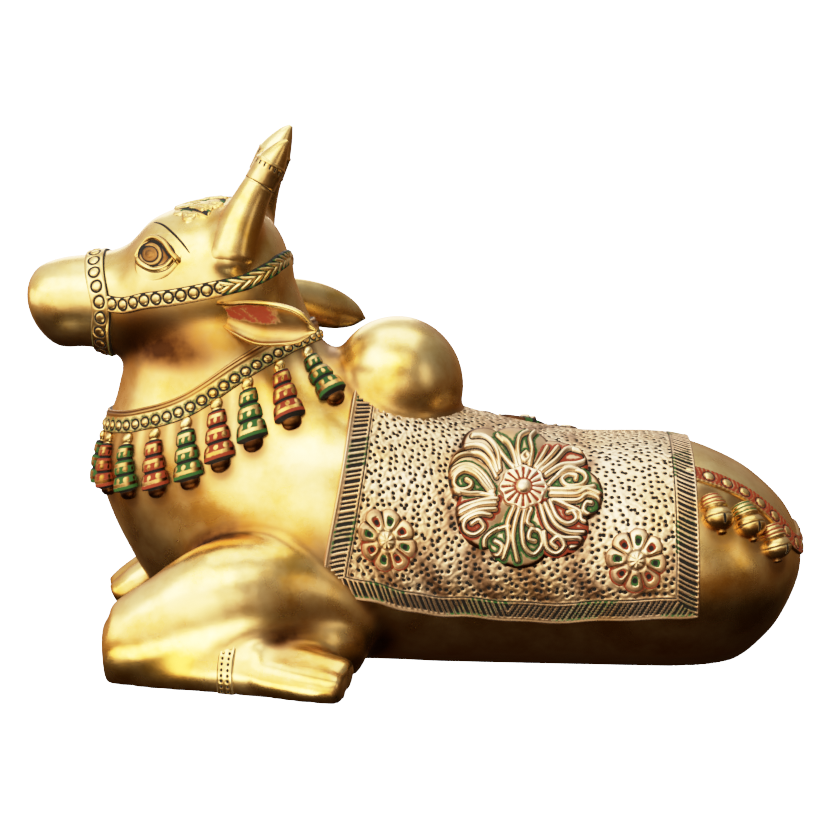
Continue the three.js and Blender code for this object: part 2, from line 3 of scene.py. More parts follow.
import bpy
import numpy as np
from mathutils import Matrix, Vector


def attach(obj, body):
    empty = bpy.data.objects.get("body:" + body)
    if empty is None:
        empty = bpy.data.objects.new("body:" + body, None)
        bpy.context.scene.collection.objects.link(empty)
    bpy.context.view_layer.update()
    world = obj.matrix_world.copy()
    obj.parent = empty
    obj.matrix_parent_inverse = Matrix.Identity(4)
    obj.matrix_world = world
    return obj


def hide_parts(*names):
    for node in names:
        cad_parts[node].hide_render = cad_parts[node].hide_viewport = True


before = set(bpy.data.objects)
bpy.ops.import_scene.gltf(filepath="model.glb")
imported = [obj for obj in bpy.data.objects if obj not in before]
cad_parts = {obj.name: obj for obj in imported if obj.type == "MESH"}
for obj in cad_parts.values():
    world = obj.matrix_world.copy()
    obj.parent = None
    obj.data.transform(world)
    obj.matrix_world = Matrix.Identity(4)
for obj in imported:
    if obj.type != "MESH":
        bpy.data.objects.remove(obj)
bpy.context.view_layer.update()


# The bull itself is one lost-wax casting in brass, from the muzzle to the rump. Its wax forms were
# pressed together and smoothed by hand, so each join is a soft fillet. The skin is filed and polished.
# Its hollows are brown with lacquer and painted shade, and painted shade browns what faces the ground,
# the throat under the jaw and the skin beside the bells, where a stain lies too.
SHARE = 0.300 / 100     # one hundredth of the figure's length, in metres
MM = 0.001

# Ribs stand in the middle plane: back x, back z, belly x, belly z, half width, in hundredths of the length.
TRUNK_RIBS = SHARE * np.array([
    [50.0, 12.7, 50.0, 12.7, 0], [49.3, 16.2, 48.8, 8.2, 6.5], [46.9, 20.1, 45.6, 2.4, 11.2],
    [41.3, 24.5, 40.6, -1.7, 14.6], [33.0, 27.4, 33.6, -3.4, 16.2], [20.7, 27.7, 20.7, -3.6, 16.4],
    [9.3, 29.7, 8.0, -3.7, 16.7], [0.5, 32.7, -1.5, -3.6, 16.8], [-7.2, 36.0, -10.0, -3.2, 16.8],
    [-9.6, 37.9, -21.5, -2.4, 16.4], [-10.8, 38.6, -31.5, 3.4, 15.3], [-11.6, 39.2, -37.8, 12.7, 14.0],
    [-12.2, 39.9, -41.0, 20.9, 12.7], [-13.0, 41.4, -40.7, 27.0, 11.4], [-14.2, 44.0, -38.9, 32.3, 10.4],
    [-15.4, 47.2, -37.7, 36.3, 9.4], [-16.9, 50.7, -34.7, 40.7, 8.0], [-25.3, 46.7, -25.3, 46.7, 0],
])
HEAD_RIBS = SHARE * np.array([
    [-50.0, 44.9, -50.0, 44.9, 0], [-49.6, 47.8, -49.5, 42.4, 3.8], [-48.3, 49.3, -48.2, 40.0, 5.3],
    [-45.6, 50.2, -46.1, 38.5, 6.0], [-42.3, 50.6, -42.6, 38.5, 6.2], [-39.3, 51.1, -39.3, 37.7, 6.4],
    [-36.7, 52.2, -36.0, 36.1, 7.2], [-33.7, 55.1, -32.7, 34.8, 8.5], [-30.3, 56.7, -28.7, 34.6, 9.4],
    [-26.0, 57.8, -24.0, 35.3, 9.8], [-22.0, 57.7, -20.0, 36.7, 9.2], [-18.9, 55.4, -17.5, 39.0, 7.7],
    [-16.9, 52.2, -16.1, 42.0, 5.0], [-16.0, 47.3, -16.0, 47.3, 0],
])
# Swellings of the trunk: index, turn in degrees, spread in index, spread in degrees, height.
SWELLINGS = [(3.4, 98, 1.3, 38, 0.7 * SHARE), (9.0, 104, 1.2, 26, 0.6 * SHARE)]

# Limbs run along rows of x, y, z, half thickness, half height.
NEAR_FOREARM = [
    [-5.0, -10.5, 4.0, 6.0, 5.6], [-13.0, -13.6, 8.2, 6.8, 8.4], [-21.0, -17.4, 9.0, 6.9, 8.2],
    [-28.5, -19.2, 6.2, 5.6, 6.6], [-33.8, -19.7, 4.0, 4.4, 5.5], [-36.3, -19.7, 3.7, 3.2, 4.4],
]
NEAR_SHANK = [
    [-33.0, -19.9, 2.5, 3.6, 4.3], [-26.5, -20.7, 2.2, 3.6, 4.7], [-20.5, -21.7, 2.0, 3.4, 4.4],
    [-15.5, -22.8, 2.0, 3.8, 4.5],
]
FAR_FOREARM = [
    [-9.0, 11.2, 13.0, 6.5, 8.5], [-20.0, 16.6, 11.5, 6.3, 7.2], [-29.5, 17.2, 9.2, 4.8, 5.0],
    [-35.0, 15.8, 7.0, 3.9, 4.2], [-38.6, 14.6, 5.0, 3.9, 3.9],
]
HAUNCH = [
    [39.0, 8.5, 5.8, 6.0, 7.8], [31.0, 13.0, 5.8, 6.8, 6.8], [23.0, 16.2, 5.2, 6.2, 6.0],
    [16.0, 18.2, 4.4, 5.0, 5.0],
]
HIND_SHANK = [
    [41.0, 13.0, 3.6, 4.4, 4.6], [33.0, 17.5, 3.2, 3.6, 4.0], [24.0, 20.5, 2.6, 3.3, 3.4],
    [15.5, 22.0, 2.2, 3.6, 3.4],
]
TAIL = [
    [49.0, 1.5, 14.0, 1.5, 1.5], [48.2, 8.5, 12.5, 1.5, 1.5], [42.0, 15.6, 12.4, 1.4, 1.4],
    [36.0, 18.2, 12.6, 1.4, 1.4], [31.5, 20.5, 9.4, 2.2, 2.2], [30.0, 21.6, 5.6, 1.2, 1.2],
]
# Hooves: pastern, tip and the sideways step that parts the two toes.
HOOVES = [
    ([-17.2, -22.7, 2.8], [-6.2, -25.0, 1.6], [0.3, 1.2, 0.5]),
    ([-37.6, 14.8, 5.2], [-43.6, 13.2, 1.5], [0.5, -1.9, 0.0]),
    ([17.4, 21.8, 2.6], [8.2, 23.0, 1.7], [0.2, 1.7, 0.3]),
]
# Horns: x, y, z, radius. The far one stands a little higher and is fuller half way up.
NEAR_HORN = np.array([
    [-22.5, -7.6, 48.4, 3.0], [-22.3, -7.0, 50.7, 3.2], [-21.4, -6.1, 54.4, 2.8],
    [-19.9, -5.4, 58.0, 2.15], [-18.7, -5.0, 60.2, 1.9], [-17.5, -4.7, 62.3, 1.8],
    [-16.2, -4.6, 64.2, 0.95], [-15.4, -4.5, 65.0, 0.25],
])
horn_row = np.arange(len(NEAR_HORN))
horn_fuller = 0.33 * np.sin(math.pi * horn_row / horn_row[-1])
FAR_HORN = NEAR_HORN * [1, -1, 1, 1] + np.stack(
    [-0.13 * horn_row - horn_fuller, 0 * horn_row, 0.29 * horn_row, horn_fuller], -1)
HUMP_CENTRE = [-2.2, 0, 33.8]
HUMP_RADII = [8.6, 8.7, 9.0]
ELBOW_CENTRE = [-12.8, -14.2, 3.4]
ELBOW_RADII = [8.2, 7.4, 6.6]
ELBOW_BACK = [-7.0, -17.5, 9.0]
FOREARM_TOP = [-22.5, -15.5, 17.0]


def along(keys, u):
    """A smooth curve through rows of keys: a Catmull-Rom spline, so that row k is met at u = k."""
    keys, u = np.asarray(keys, float), np.asarray(u, float)
    last = len(keys) - 1
    i = np.clip(np.floor(u).astype(int), 0, last - 1)
    f = (u - i)[..., None]
    a, b, c, d = (keys[np.clip(i + k, 0, last)] for k in (-1, 0, 1, 2))
    return b + 0.5 * f * (c - a + f * (2 * a - 5 * b + 4 * c - d + f * (3 * (b - c) + d - a)))


def grid_of(rows, columns):
    """Two parameters as arrays over a grid of rows and columns."""
    return np.meshgrid(rows, columns, indexing="ij")


def all_round(count):
    """Evenly spaced turns of a full circle."""
    return np.linspace(0, 2 * np.pi, count, False)


def unit(vectors):
    """Vectors divided by their lengths."""
    return vectors / np.linalg.norm(vectors, axis=-1, keepdims=True)


def heading(keys, u, step):
    """The unit direction of a curve through rows of keys, taken from a step behind to a step ahead."""
    ahead = along(keys, np.minimum(u + step, len(keys) - 1)) - along(keys, np.maximum(u - step, 0))
    return unit(ahead[..., :3])


def rib_form(ribs, index, turn, bulge=0.0):
    """A body form's surface. Each rib is an ellipse from its back point to its belly point: the middle of
    the two, plus half their distance times the cosine of the turn, and half the width times its sine."""
    back_x, back_z, belly_x, belly_z, width = np.moveaxis(along(ribs, index), -1, 0)
    rise = np.cos(turn) / 2
    return np.stack([
        (back_x + belly_x) / 2 + (back_x - belly_x) * rise,
        -(width + bulge) * np.sin(turn),
        (back_z + belly_z) / 2 + (back_z - belly_z) * rise], -1)


def trunk_form(index, turn):
    """The trunk's ribs, widened by bell-shaped swellings at the haunch and the shoulder."""
    bulge = 0.0
    for at, degrees, wide, high, height in SWELLINGS:
        across = (np.abs(turn) - math.radians(degrees)) / math.radians(high)
        bulge = bulge + height * np.exp(-((index - at) / wide) ** 2 - across ** 2)
    return rib_form(TRUNK_RIBS, index, turn, bulge)


def head_form(index, turn):
    """The head's ribs, from the muzzle to the poll."""
    return rib_form(HEAD_RIBS, index, turn)


def limb_form(keys, u, turn, fullness=1.0):
    """A limb's surface: the key's point, plus its half thickness sideways times the cosine of the turn
    and its half height upwards times the sine, both times the fullness."""
    keys = SHARE * np.asarray(keys, float)
    row = along(keys, u)
    ahead = heading(keys, u, 0.05)
    side = unit(np.cross([0, 0, 1], ahead))
    thick, high = (row[..., k] * fullness for k in (3, 4))
    sideways = side * (thick * np.cos(turn))[..., None]
    return row[..., :3] + sideways + np.cross(ahead, side) * (high * np.sin(turn))[..., None]


def limb(keys, rings=40, around=36):
    """A limb with rounded ends, as a grid of points. The fullness falls to nothing at both ends as the
    square root of one minus the fifth power of the way along."""
    e, turn = grid_of(np.linspace(-1, 1, rings), all_round(around))
    u = (len(keys) - 1) * (1 + np.sin(e * np.pi / 2)) / 2
    return limb_form(keys, u, turn, np.sqrt(np.clip(1 - np.abs(e) ** 5, 0, 1)))


def ellipsoid(centre, radii, rings=48, around=64):
    """A ball stretched to three radii: latitude and longitude turned to x, y and z."""
    latitude, longitude = grid_of(np.linspace(0, np.pi, rings), all_round(around))
    lower_half_shadow = np.sin(latitude)
    ball = np.stack([lower_half_shadow * np.cos(longitude), lower_half_shadow * np.sin(longitude), np.cos(latitude)], -1)
    return SHARE * (np.array(centre) + ball * radii)


def closed_tube(grid):
    """Points and faces of a tube whose rings are the rows of a grid, closed at each end round its middle."""
    rings, around = grid.shape[:2]
    number = np.arange(rings * around).reshape(rings, around)
    right = np.roll(number, -1, 1)
    quads = np.stack([number[:-1], right[:-1], right[1:], number[1:]], -1).reshape(-1, 4)
    poles = rings * around + np.array([0, 1])
    start = np.stack([np.full(around, poles[0]), right[0], number[0]], -1)
    end = np.stack([np.full(around, poles[1]), number[-1], right[-1]], -1)
    points = np.concatenate([grid.reshape(-1, 3), grid[[0, -1]].mean(1)])
    return points, [quads, np.concatenate([start, end])]


def closed_tubes(grids):
    """Points and faces of several closed tubes as one mesh."""
    points, faces, start = [], ([], []), 0
    for grid in grids:
        tube_points, tube_faces = closed_tube(grid)
        points.append(tube_points)
        for whole, part in zip(faces, tube_faces):
            whole.append(part + start)
        start += len(tube_points)
    return np.concatenate(points), [np.concatenate(part) for part in faces]


def piece_from(name, points, faces, paint=None):
    """A smooth mesh object from points in metres and a list of face arrays of one corner count each. The
    faces are turned over if the volume they hold, the sum of corner products, comes out negative. Paint
    gives the amount of each coat at the points, at most 1."""
    volume = sum(
        np.einsum("ij,ij->", points[f[:, 0]], np.cross(points[f[:, k]], points[f[:, k + 1]]))
        for f in faces for k in range(1, f.shape[1] - 1))
    faces = [f if volume > 0 else f[:, ::-1] for f in faces]
    mesh = bpy.data.meshes.new(name)
    mesh.vertices.add(len(points))
    mesh.vertices.foreach_set("co", points.astype(np.float32).ravel())
    corners = np.concatenate([f.ravel() for f in faces]).astype(np.int32)
    counts = np.concatenate([np.full(len(f), f.shape[1]) for f in faces])
    mesh.loops.add(len(corners))
    mesh.loops.foreach_set("vertex_index", corners)
    mesh.polygons.add(len(counts))
    mesh.polygons.foreach_set("loop_start", (np.cumsum(counts) - counts).astype(np.int32))
    mesh.update(calc_edges=True)
    mesh.polygons.foreach_set("use_smooth", np.ones(len(counts), bool))
    for key, values in (paint or {}).items():
        whole = np.zeros(len(points), np.float32)
        whole[:np.size(values)] = np.minimum(np.ravel(values), 1)
        mesh.attributes.new(key, "FLOAT", "POINT").data.foreach_set("value", whole)
    piece = bpy.data.objects.new(name, mesh)
    bpy.context.scene.collection.objects.link(piece)
    return piece


def fused(name, grids, voxel):
    """One skin over overlapping closed tubes: all are put in one mesh and remeshed on a grid of voxels."""
    rough = piece_from(name + "_forms", *closed_tubes(grids))
    remesh = rough.modifiers.new("skin", "REMESH")
    remesh.mode = "VOXEL"
    remesh.voxel_size = voxel
    skin = bpy.data.meshes.new_from_object(rough.evaluated_get(bpy.context.evaluated_depsgraph_get()))
    bpy.data.objects.remove(rough)
    return skin


class Surface:
    """A mesh's points, edges and quads as arrays, with the sums over neighbours that smoothing needs."""

    def __init__(self, mesh):
        self.points = np.zeros(3 * len(mesh.vertices))
        mesh.vertices.foreach_get("co", self.points)
        self.points = self.points.reshape(-1, 3)
        edges = np.zeros(2 * len(mesh.edges), np.int32)
        mesh.edges.foreach_get("vertices", edges)
        ends = edges.reshape(-1, 2)
        self.here, self.there = np.concatenate([ends, ends[:, ::-1]]).T
        self.count = np.bincount(self.here, minlength=len(self.points))
        corners = np.zeros(len(mesh.loops), np.int32)
        mesh.loops.foreach_get("vertex_index", corners)
        self.quads = corners.reshape(-1, 4)

    def mean(self, values):
        """The mean of each point's neighbours."""
        columns = values.reshape(len(self.count), -1).T
        sums = [np.bincount(self.here, column[self.there], len(self.count)) for column in columns]
        return (np.stack(sums, -1) / self.count[:, None]).reshape(values.shape)

    def normals(self):
        """Unit normals at the points: the sum of the quads' normals, which are their diagonals' products."""
        a, b, c, d = (self.points[self.quads[:, k]] for k in range(4))
        face = np.cross(c - a, d - b)
        total = np.zeros_like(self.points)
        for corner in self.quads.T:
            for axis in range(3):
                total[:, axis] += np.bincount(corner, face[:, axis], len(self.count))
        return total / np.maximum(np.linalg.norm(total, axis=1, keepdims=True), 1e-20)


TRUNK_RINGS, HEAD_RINGS, BODY_ROUND = 160, 110, 120
SKIN_VOXEL = 1.4 * MM
FILLET_PASSES, FILLET_PACE = 30, 0.8        # rounds of filling the joins, and how far each one goes
POLISH_PASSES, POLISH_PACES = 5, (0.6, -0.62)       # each pass smooths, then swells back to size
CRISP_REACH = 17 * MM       # within this reach of the far hooves, the elbow and the forearm joins stay crisp
CRISPNESS = 0.85            # the share of the filling that is held back there
TOE_SIZES = [[2.4, 2.6], [2.6, 2.5], [2.1, 2.0]]        # half thickness and half height, pastern to tip

hoof_forms = []
for pastern, tip, part in np.array(HOOVES):
    for side in (-1, 1):
        heel, toe = pastern + side * part, tip + side * part
        hoof_forms.append(np.column_stack([[heel, (heel + toe) / 2, toe], TOE_SIZES]))

trunk_grid = trunk_form(*grid_of(np.linspace(0.02, 16.98, TRUNK_RINGS), all_round(BODY_ROUND)))
head_grid = head_form(*grid_of(np.linspace(0.02, 12.98, HEAD_RINGS), all_round(BODY_ROUND)))
horns = [form[:, [0, 1, 2, 3, 3]] for form in (NEAR_HORN, FAR_HORN)]
skin_mesh = fused("skin", [
    trunk_grid, head_grid, ellipsoid(HUMP_CENTRE, HUMP_RADII), ellipsoid(ELBOW_CENTRE, ELBOW_RADII),
    *[limb(keys) for keys in (NEAR_FOREARM, NEAR_SHANK, FAR_FOREARM, HAUNCH, HIND_SHANK, TAIL)],
    *[limb(keys, 24, 28) for keys in (*hoof_forms, *horns)],
], SKIN_VOXEL)
skin = Surface(skin_mesh)
bpy.data.meshes.remove(skin_mesh)

far_hooves = [(pastern + tip) / 2 for pastern, tip, part in np.array(HOOVES[1:])]
to_crisp = np.min([
    np.linalg.norm(skin.points - SHARE * np.array(place), axis=1)
    for place in (ELBOW_BACK, FOREARM_TOP, *far_hooves)], axis=0)
soft = 1 - CRISPNESS * np.exp(-(to_crisp / CRISP_REACH) ** 4)
for _ in range(FILLET_PASSES):
    pull = skin.mean(skin.points) - skin.points
    outward = np.einsum("ij,ij->i", pull, skin.normals())
    skin.points += (FILLET_PACE * soft * (outward > 0))[:, None] * pull
for _ in range(POLISH_PASSES):
    for pace in POLISH_PACES:
        skin.points += pace * (skin.mean(skin.points) - skin.points)

# The hand-filed skin is never quite even: shallow waves of a quarter of a millimetre, 15 to 40 mm long.
WAVE_COUNT, WAVE_LENGTH, WAVE_HEIGHT = 14, 30 * MM, 0.25 * MM
random = np.random.default_rng(7)
waves = random.normal(size=(WAVE_COUNT, 3)) * 2 * np.pi / WAVE_LENGTH
phases = random.uniform(0, 2 * np.pi, WAVE_COUNT)
unevenness = np.sin(skin.points @ waves.T + phases).mean(1)
skin_normals = skin.normals()
skin.points += skin_normals * (WAVE_HEIGHT * unevenness)[:, None]
skin.points[:, 2] = np.maximum(skin.points[:, 2], 0)

# The brown in the hollows, measured as how far the skin lies below its own smoothed form, is partly
# lacquer and partly painted shade. On what faces the ground the brown is painted shade.
HOLLOW_PASSES, LACQUER_PASSES = 60, 6
FULL_HOLLOW = 1.2 * MM      # a hollow this deep is brown all over
GROUND_SHADE = 1.1          # the painted shade on what faces the ground
smoothed = skin.points.copy()
for _ in range(HOLLOW_PASSES):
    smoothed += FILLET_PACE * (skin.mean(smoothed) - smoothed)
hollow = np.einsum("ij,ij->i", smoothed - skin.points, skin_normals)
# Painted shade: brown in the hollows and on every face that looks down.
lacquer = np.clip(hollow / FULL_HOLLOW, 0, 1) + GROUND_SHADE * np.clip(-skin_normals[:, 2] - 0.3, 0, 1)
for _ in range(LACQUER_PASSES):
    lacquer = skin.mean(lacquer)
lacquer = np.clip(lacquer, 0, 1)
bull = piece_from("bull", skin.points, [skin.quads], {"lacquer": lacquer})


def linear(code):
    """An sRGB hex code as a linear colour: c / 12.92 below 0.04045, else ((c + 0.055) / 1.055) ** 2.4."""
    parts = [int(code[k:k + 2], 16) / 255 for k in (1, 3, 5)]
    return [c / 12.92 if c < 0.04045 else ((c + 0.055) / 1.055) ** 2.4 for c in parts] + [1]


def add(tree, kind, **values):
    """Adds a shader node of a kind and gives its outputs. Names in small letters are its settings. Names
    with a capital, or i and a number, are inputs: a value, a hex colour, or the socket that feeds it."""
    node = tree.nodes.new("ShaderNode" + kind)
    for key, value in values.items():
        numbered = key[1:].isdigit()
        if key[0].islower() and not numbered:
            setattr(node, key, value)
            continue
        socket = node.inputs[int(key[1:]) if numbered else key.replace("_", " ")]
        if isinstance(value, bpy.types.NodeSocket):
            tree.links.new(value, socket)
        else:
            socket.default_value = linear(value) if isinstance(value, str) else value
    return node.outputs


# Brass of about a third zinc, polished on a wheel: a warm metal that mirrors its surroundings softly.
BRASS_PALE, BRASS_DEEP = "#EDCD88", "#C9963F"
# Two browns, thin and thick, for lacquer and for painted shade alike.
LACQUER_AND_SHADE_THIN, LACQUER_AND_SHADE_THICK = "#8A4A17", "#1E0F06"
PATINA_BLACK = "#14110C"
RED_PAINT, GREEN_PAINT = "#74270F", "#23481A"
POLISH_MARK_WIDTH = 0.35    # mm across a polishing mark, drawn as coarse as shows
CLOUD_SIZE = 22.0           # mm across a patch of slightly paler or deeper colour
GRAIN_SIZE = 1.1            # mm across a pit of the cast grain
COAT_OUT, COAT_IN = 0.3, 0.58       # a coat of paint or patina ends between these amounts
THICK_OUT, THICK_IN = 0.42, 1.05    # the brown of lacquer and painted shade turns from its thin to its thick colour between these


def cast_brass(name, gloss, grain, pale=BRASS_PALE, deep=BRASS_DEEP):
    """Cast brass: pale and deep clouds, brown lacquer and painted shade, black in the cut lines, and worn
    paint.
    The brown comes from the piece's own lacquer attribute, which carries painted shade as well as lacquer,
    and the black and the paint from its patina, red and green attributes. Paint wears thin on the grain.
    Under paint and patina the metal is dull and no longer mirrors."""
    material = bpy.data.materials.new(name)
    material.use_nodes = True
    tree = material.node_tree
    tree.nodes.clear()
    place = add(tree, "TexCoord")["Object"]
    clouds = add(tree, "TexNoise", Vector=place, Scale=1000 / CLOUD_SIZE, Detail=4.0, Roughness=0.6)["Fac"]
    grains = add(tree, "TexNoise", Vector=place, Scale=1000 / GRAIN_SIZE, Detail=2.0)["Fac"]
    stretched = add(tree, "Mapping", Vector=place, Scale=(0.12, 1.0, 1.0))[0]
    marks = add(tree, "TexNoise", Vector=stretched, Scale=1000 / POLISH_MARK_WIDTH, Detail=1.0)["Fac"]
    cloud = add(tree, "MapRange", Value=clouds, i1=0.35, i2=0.65)[0]
    worn = add(tree, "MapRange", Value=grains, i1=0.25, i2=0.6, i3=1.0, i4=0.7)[0]

    coats = []
    for key, wear in (("red", worn), ("green", worn), ("patina", 1.0)):
        amount = add(tree, "Attribute", attribute_name=key)["Fac"]
        left = add(tree, "Math", operation="MULTIPLY", i0=amount, i1=wear)[0]
        edged = add(tree, "MapRange", interpolation_type="SMOOTHSTEP", Value=left, i1=COAT_OUT, i2=COAT_IN)
        coats.append(edged[0])
    uneven = add(tree, "MapRange", Value=cloud, i3=0.85, i4=1.15)[0]
    amount = add(tree, "Attribute", attribute_name="lacquer")["Fac"]
    thin = add(tree, "Math", operation="MULTIPLY", use_clamp=True, i0=amount, i1=uneven)[0]
    thick = add(tree, "MapRange", Value=thin, i1=THICK_OUT, i2=THICK_IN)[0]

    colour = add(tree, "Mix", data_type="RGBA", i0=cloud, i6=deep, i7=pale)[2]
    shares = (thin, thick, *coats)
    for share, coat in zip(shares, (LACQUER_AND_SHADE_THIN, LACQUER_AND_SHADE_THICK, RED_PAINT, GREEN_PAINT, PATINA_BLACK)):
        colour = add(tree, "Mix", data_type="RGBA", i0=share, i6=colour, i7=coat)[2]
    covered = 0.0
    for coat in coats:
        covered = add(tree, "Math", operation="MAXIMUM", i0=covered, i1=coat)[0]
    rough = gloss
    for share, weight in ((cloud, 0.05), (covered, 0.25), (thin, 0.08)):
        rough = add(tree, "Math", operation="MULTIPLY_ADD", i0=share, i1=weight, i2=rough)[0]
    height = 0.0
    for part, weight in ((grains, grain), (marks, 0.25)):
        height = add(tree, "Math", operation="MULTIPLY_ADD", i0=part, i1=weight, i2=height)[0]
    shader = add(
        tree, "BsdfPrincipled", Base_Color=colour, Roughness=rough,
        Metallic=add(tree, "MapRange", Value=covered, i3=1.0, i4=0.0)[0],
        Specular_IOR_Level=add(tree, "MapRange", Value=covered, i3=0.5, i4=0.1)[0],
        Normal=add(tree, "Bump", Strength=0.25, Distance=0.1 * MM, Height=height)[0])
    add(tree, "OutputMaterial", Surface=shader[0])
    return material


def finish_piece(piece, material):
    """Puts a piece of the casting in its material, attaches it to the body it rides on, and hides the part
    that it stands for.
    """
    piece.data.materials.append(material)
    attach(piece, "root")
    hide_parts("nandi_bull")


skin_brass = cast_brass("polished cast brass", gloss=0.25, grain=0.5)
finish_piece(bull, skin_brass)


# The ears are leaf-shaped bowls, hollow to the near side, pressed on to the wax before casting.
# The bowl was painted with red lacquer, and the rim is rubbed bare.
NEAR_EAR = [
    [-24.4, -8.2, 43.9, 1.5, 1.6], [-21.6, -11.4, 43.4, 2.2, 2.0], [-18.6, -13.8, 43.1, 2.9, 2.3],
    [-15.4, -15.4, 43.1, 2.75, 2.1], [-12.6, -16.2, 42.9, 2.0, 1.5], [-10.6, -16.6, 42.5, 0.2, 0.5],
]
FAR_EAR = [
    [-20.2, 7.0, 45.0, 2.0, 1.8], [-17.4, 10.0, 44.2, 2.7, 2.0], [-14.4, 12.6, 43.1, 3.0, 2.2],
    [-11.6, 14.4, 42.1, 2.6, 1.9], [-9.4, 15.6, 41.3, 1.6, 1.3], [-8.0, 16.2, 40.8, 0.2, 0.5],
]
EAR_WALL = 2.6 * MM


def ear_grid(keys, side, rings=70, half_round=26):
    """An ear as rings of points. The back is half an ellipse of the key's half height and depth, the bowl
    is a smaller one inside it, and both lean out along the way that the ear opens."""
    keys = SHARE * np.array(keys)
    u = np.linspace(0, len(keys) - 1, rings)
    row = along(keys, u)
    ahead = heading(keys, u, 0.1)
    opening = np.array([0, side, -0.25])
    out = unit(opening - ahead * (ahead @ opening)[:, None])
    across = np.cross(ahead, out)
    high, deep = row[:, 3, None], row[:, 4, None]
    lip = np.minimum(EAR_WALL / 2, 0.45 * high)
    arc = np.linspace(0, np.pi, half_round)
    sideways = np.concatenate([high * np.cos(arc), (high - lip) * np.cos(arc[::-1])], 1)
    hollow = np.maximum(deep - EAR_WALL, 0.25 * deep)
    outward = np.concatenate([-deep * np.sin(arc), 0.5 * lip - hollow * np.sin(arc[::-1])], 1)
    from_ends = np.sin(np.pi * np.clip(u / u[-1], 0, 1))[:, None] ** 0.6
    bowl = np.concatenate([0 * arc, np.sin(arc) ** 0.7]) * from_ends
    grid = row[:, None, :3] + sideways[..., None] * across[:, None] + outward[..., None] * out[:, None]
    return grid, bowl


def step_up(low, high, x):
    """Rises smoothly from 0 at low to 1 at high."""
    share = np.clip((x - low) / (high - low), 0, 1)
    return share * share * (3 - 2 * share)


for name, keys, side in (("ear_near", NEAR_EAR, -1), ("ear_far", FAR_EAR, 1)):
    grid, bowl = ear_grid(keys, side)
    down, round_ear = np.indices(bowl.shape)
    streaks = np.sin(0.5 * down + 1.7 * np.sin(0.6 * round_ear)) * np.cos(0.31 * round_ear - 0.2 * down)
    streaks = 0.6 + 0.4 * streaks
    towards_root = 1 - step_up(0.45, 0.75, down / down.max() + 0.12 * (streaks - 0.6))
    rise = grid[..., 2] - grid[..., 2].mean(1, keepdims=True)
    upper_half = step_up(-3 * MM, 0, rise)
    ear = piece_from(name, *closed_tube(grid), {
        "red": step_up(0.25, 0.6, bowl) * towards_root * (0.5 + 0.5 * streaks) * upper_half,
        "patina": 0.7 * bowl ** 3 * (streaks > 0.965), "lacquer": 0.45 * bowl})
    finish_piece(ear, skin_brass)


# The horns rise side by side and each wears a cap with a cut line below, a row of punched triangles and
# a beaded edge above. They were modelled in wax with the head and cut with a chisel after casting.
HORN_CAP = (3.7, 5.0)       # where the cap is, in keys of the horn
HORN_CAP_LIP = 0.5 * MM
HORN_ROOT_END = 1.1         # the root is rounded off up to this key
HORN_RINGS, HORN_ROUND = 140, 48
TRIANGLES = 16


def peak(x, at, spread):
    """A smooth bump of 1 at a place: e to the power of minus (distance / spread) squared."""
    return np.exp(-((x - at) / spread) ** 2)


def rolled(distance, width):
    """A rounded edge: from 0 at the edge to 1 at a width from it, as a quarter of a circle."""
    return np.sqrt(1 - (1 - np.clip(distance / width, 0, 1)) ** 2)


for name, form in (("horn_near", horns[0]), ("horn_far", horns[1])):
    u, turn = grid_of(np.linspace(0.004, 6.99, HORN_RINGS), all_round(HORN_ROUND))
    radius = SHARE * along(form, u)[..., 3]
    past_foot, past_top = u - HORN_CAP[0], u - HORN_CAP[1]
    on_cap = step_up(0, 0.04, past_foot) * (1 - step_up(0, 0.04, past_top))
    wave = 0.5 + 0.5 * np.cos(TRIANGLES * turn)
    tooth = step_up(0.1, 0.3, past_top + 0.62 - 0.42 * (1 - wave)) * (past_top < -0.16)
    bead = np.clip(1 - ((past_top + 0.06) / 0.1) ** 2, 0, 1) * (0.6 + 0.4 * np.cos(2 * TRIANGLES * turn))
    line = peak(past_foot, 0, 0.045)
    rise = HORN_CAP_LIP * (0.5 * on_cap + 0.6 * bead - 0.5 * tooth) - 0.35 * MM * line + 0.1 * MM
    root_end = 0.12 + 0.88 * rolled(u, HORN_ROOT_END)
    grid = limb_form(form, u, turn, root_end * (radius + rise) / radius)
    root_stain = 1 - step_up(0.15, 1.1, u + 0.25 * np.sin(2 * turn))
    horn = piece_from(name, *closed_tube(grid), {
        "patina": 1.3 * line + 0.85 * tooth, "lacquer": 0.15 * on_cap + 0.35 * root_stain})
    finish_piece(horn, skin_brass)


# Almond eyes were built up in wax: a heavy upper lid, a thin lower one, and a round iris with two cut
# rings. Brown lacquer fills the corners. The brow line is a single stroke of the graver.
IRIS_AT = (7.32, math.radians(57))          # index and turn on the head
EYE_PATCH_AT = (7.51, math.radians(57) + 0.03)
EYE_PATCH_RADIUS, EYE_PATCH_COUNT = 11.5, 112
IRIS_RADIUS, PUPIL_RADIUS = 4.9, 1.5
IRIS_RINGS = [(3.0, 0.34), (4.7, 0.38)]     # radius and half width of each cut ring
UPPER_LID = [(-5.6, -0.5), (-3.7, 3.7), (0.7, 6.4), (5.0, 4.8), (8.4, 0.2), (10.8, -2.4)]
LOWER_LID = [(-5.6, -0.5), (-3.4, -3.7), (1.0, -5.7), (5.6, -4.8), (8.6, -1.8)]
INNER_WRINKLES = [[(-8.2, 1.2), (-6.2, 3.2)], [(-7.6, -1.9), (-5.4, -0.2)]]
BROW = [(7.04, 18.6), (7.4, 26.0), (7.8, 36.0), (8.3, 52.0), (8.67, 66.3)]
BROW_WIDTH = 1.1
CAMERA_TURN, CAMERA_DROP = math.radians(4), math.radians(9)
CAMERA_DISTANCE = 0.640
CAMERA_TARGET = np.array([0, 0, 0.090])
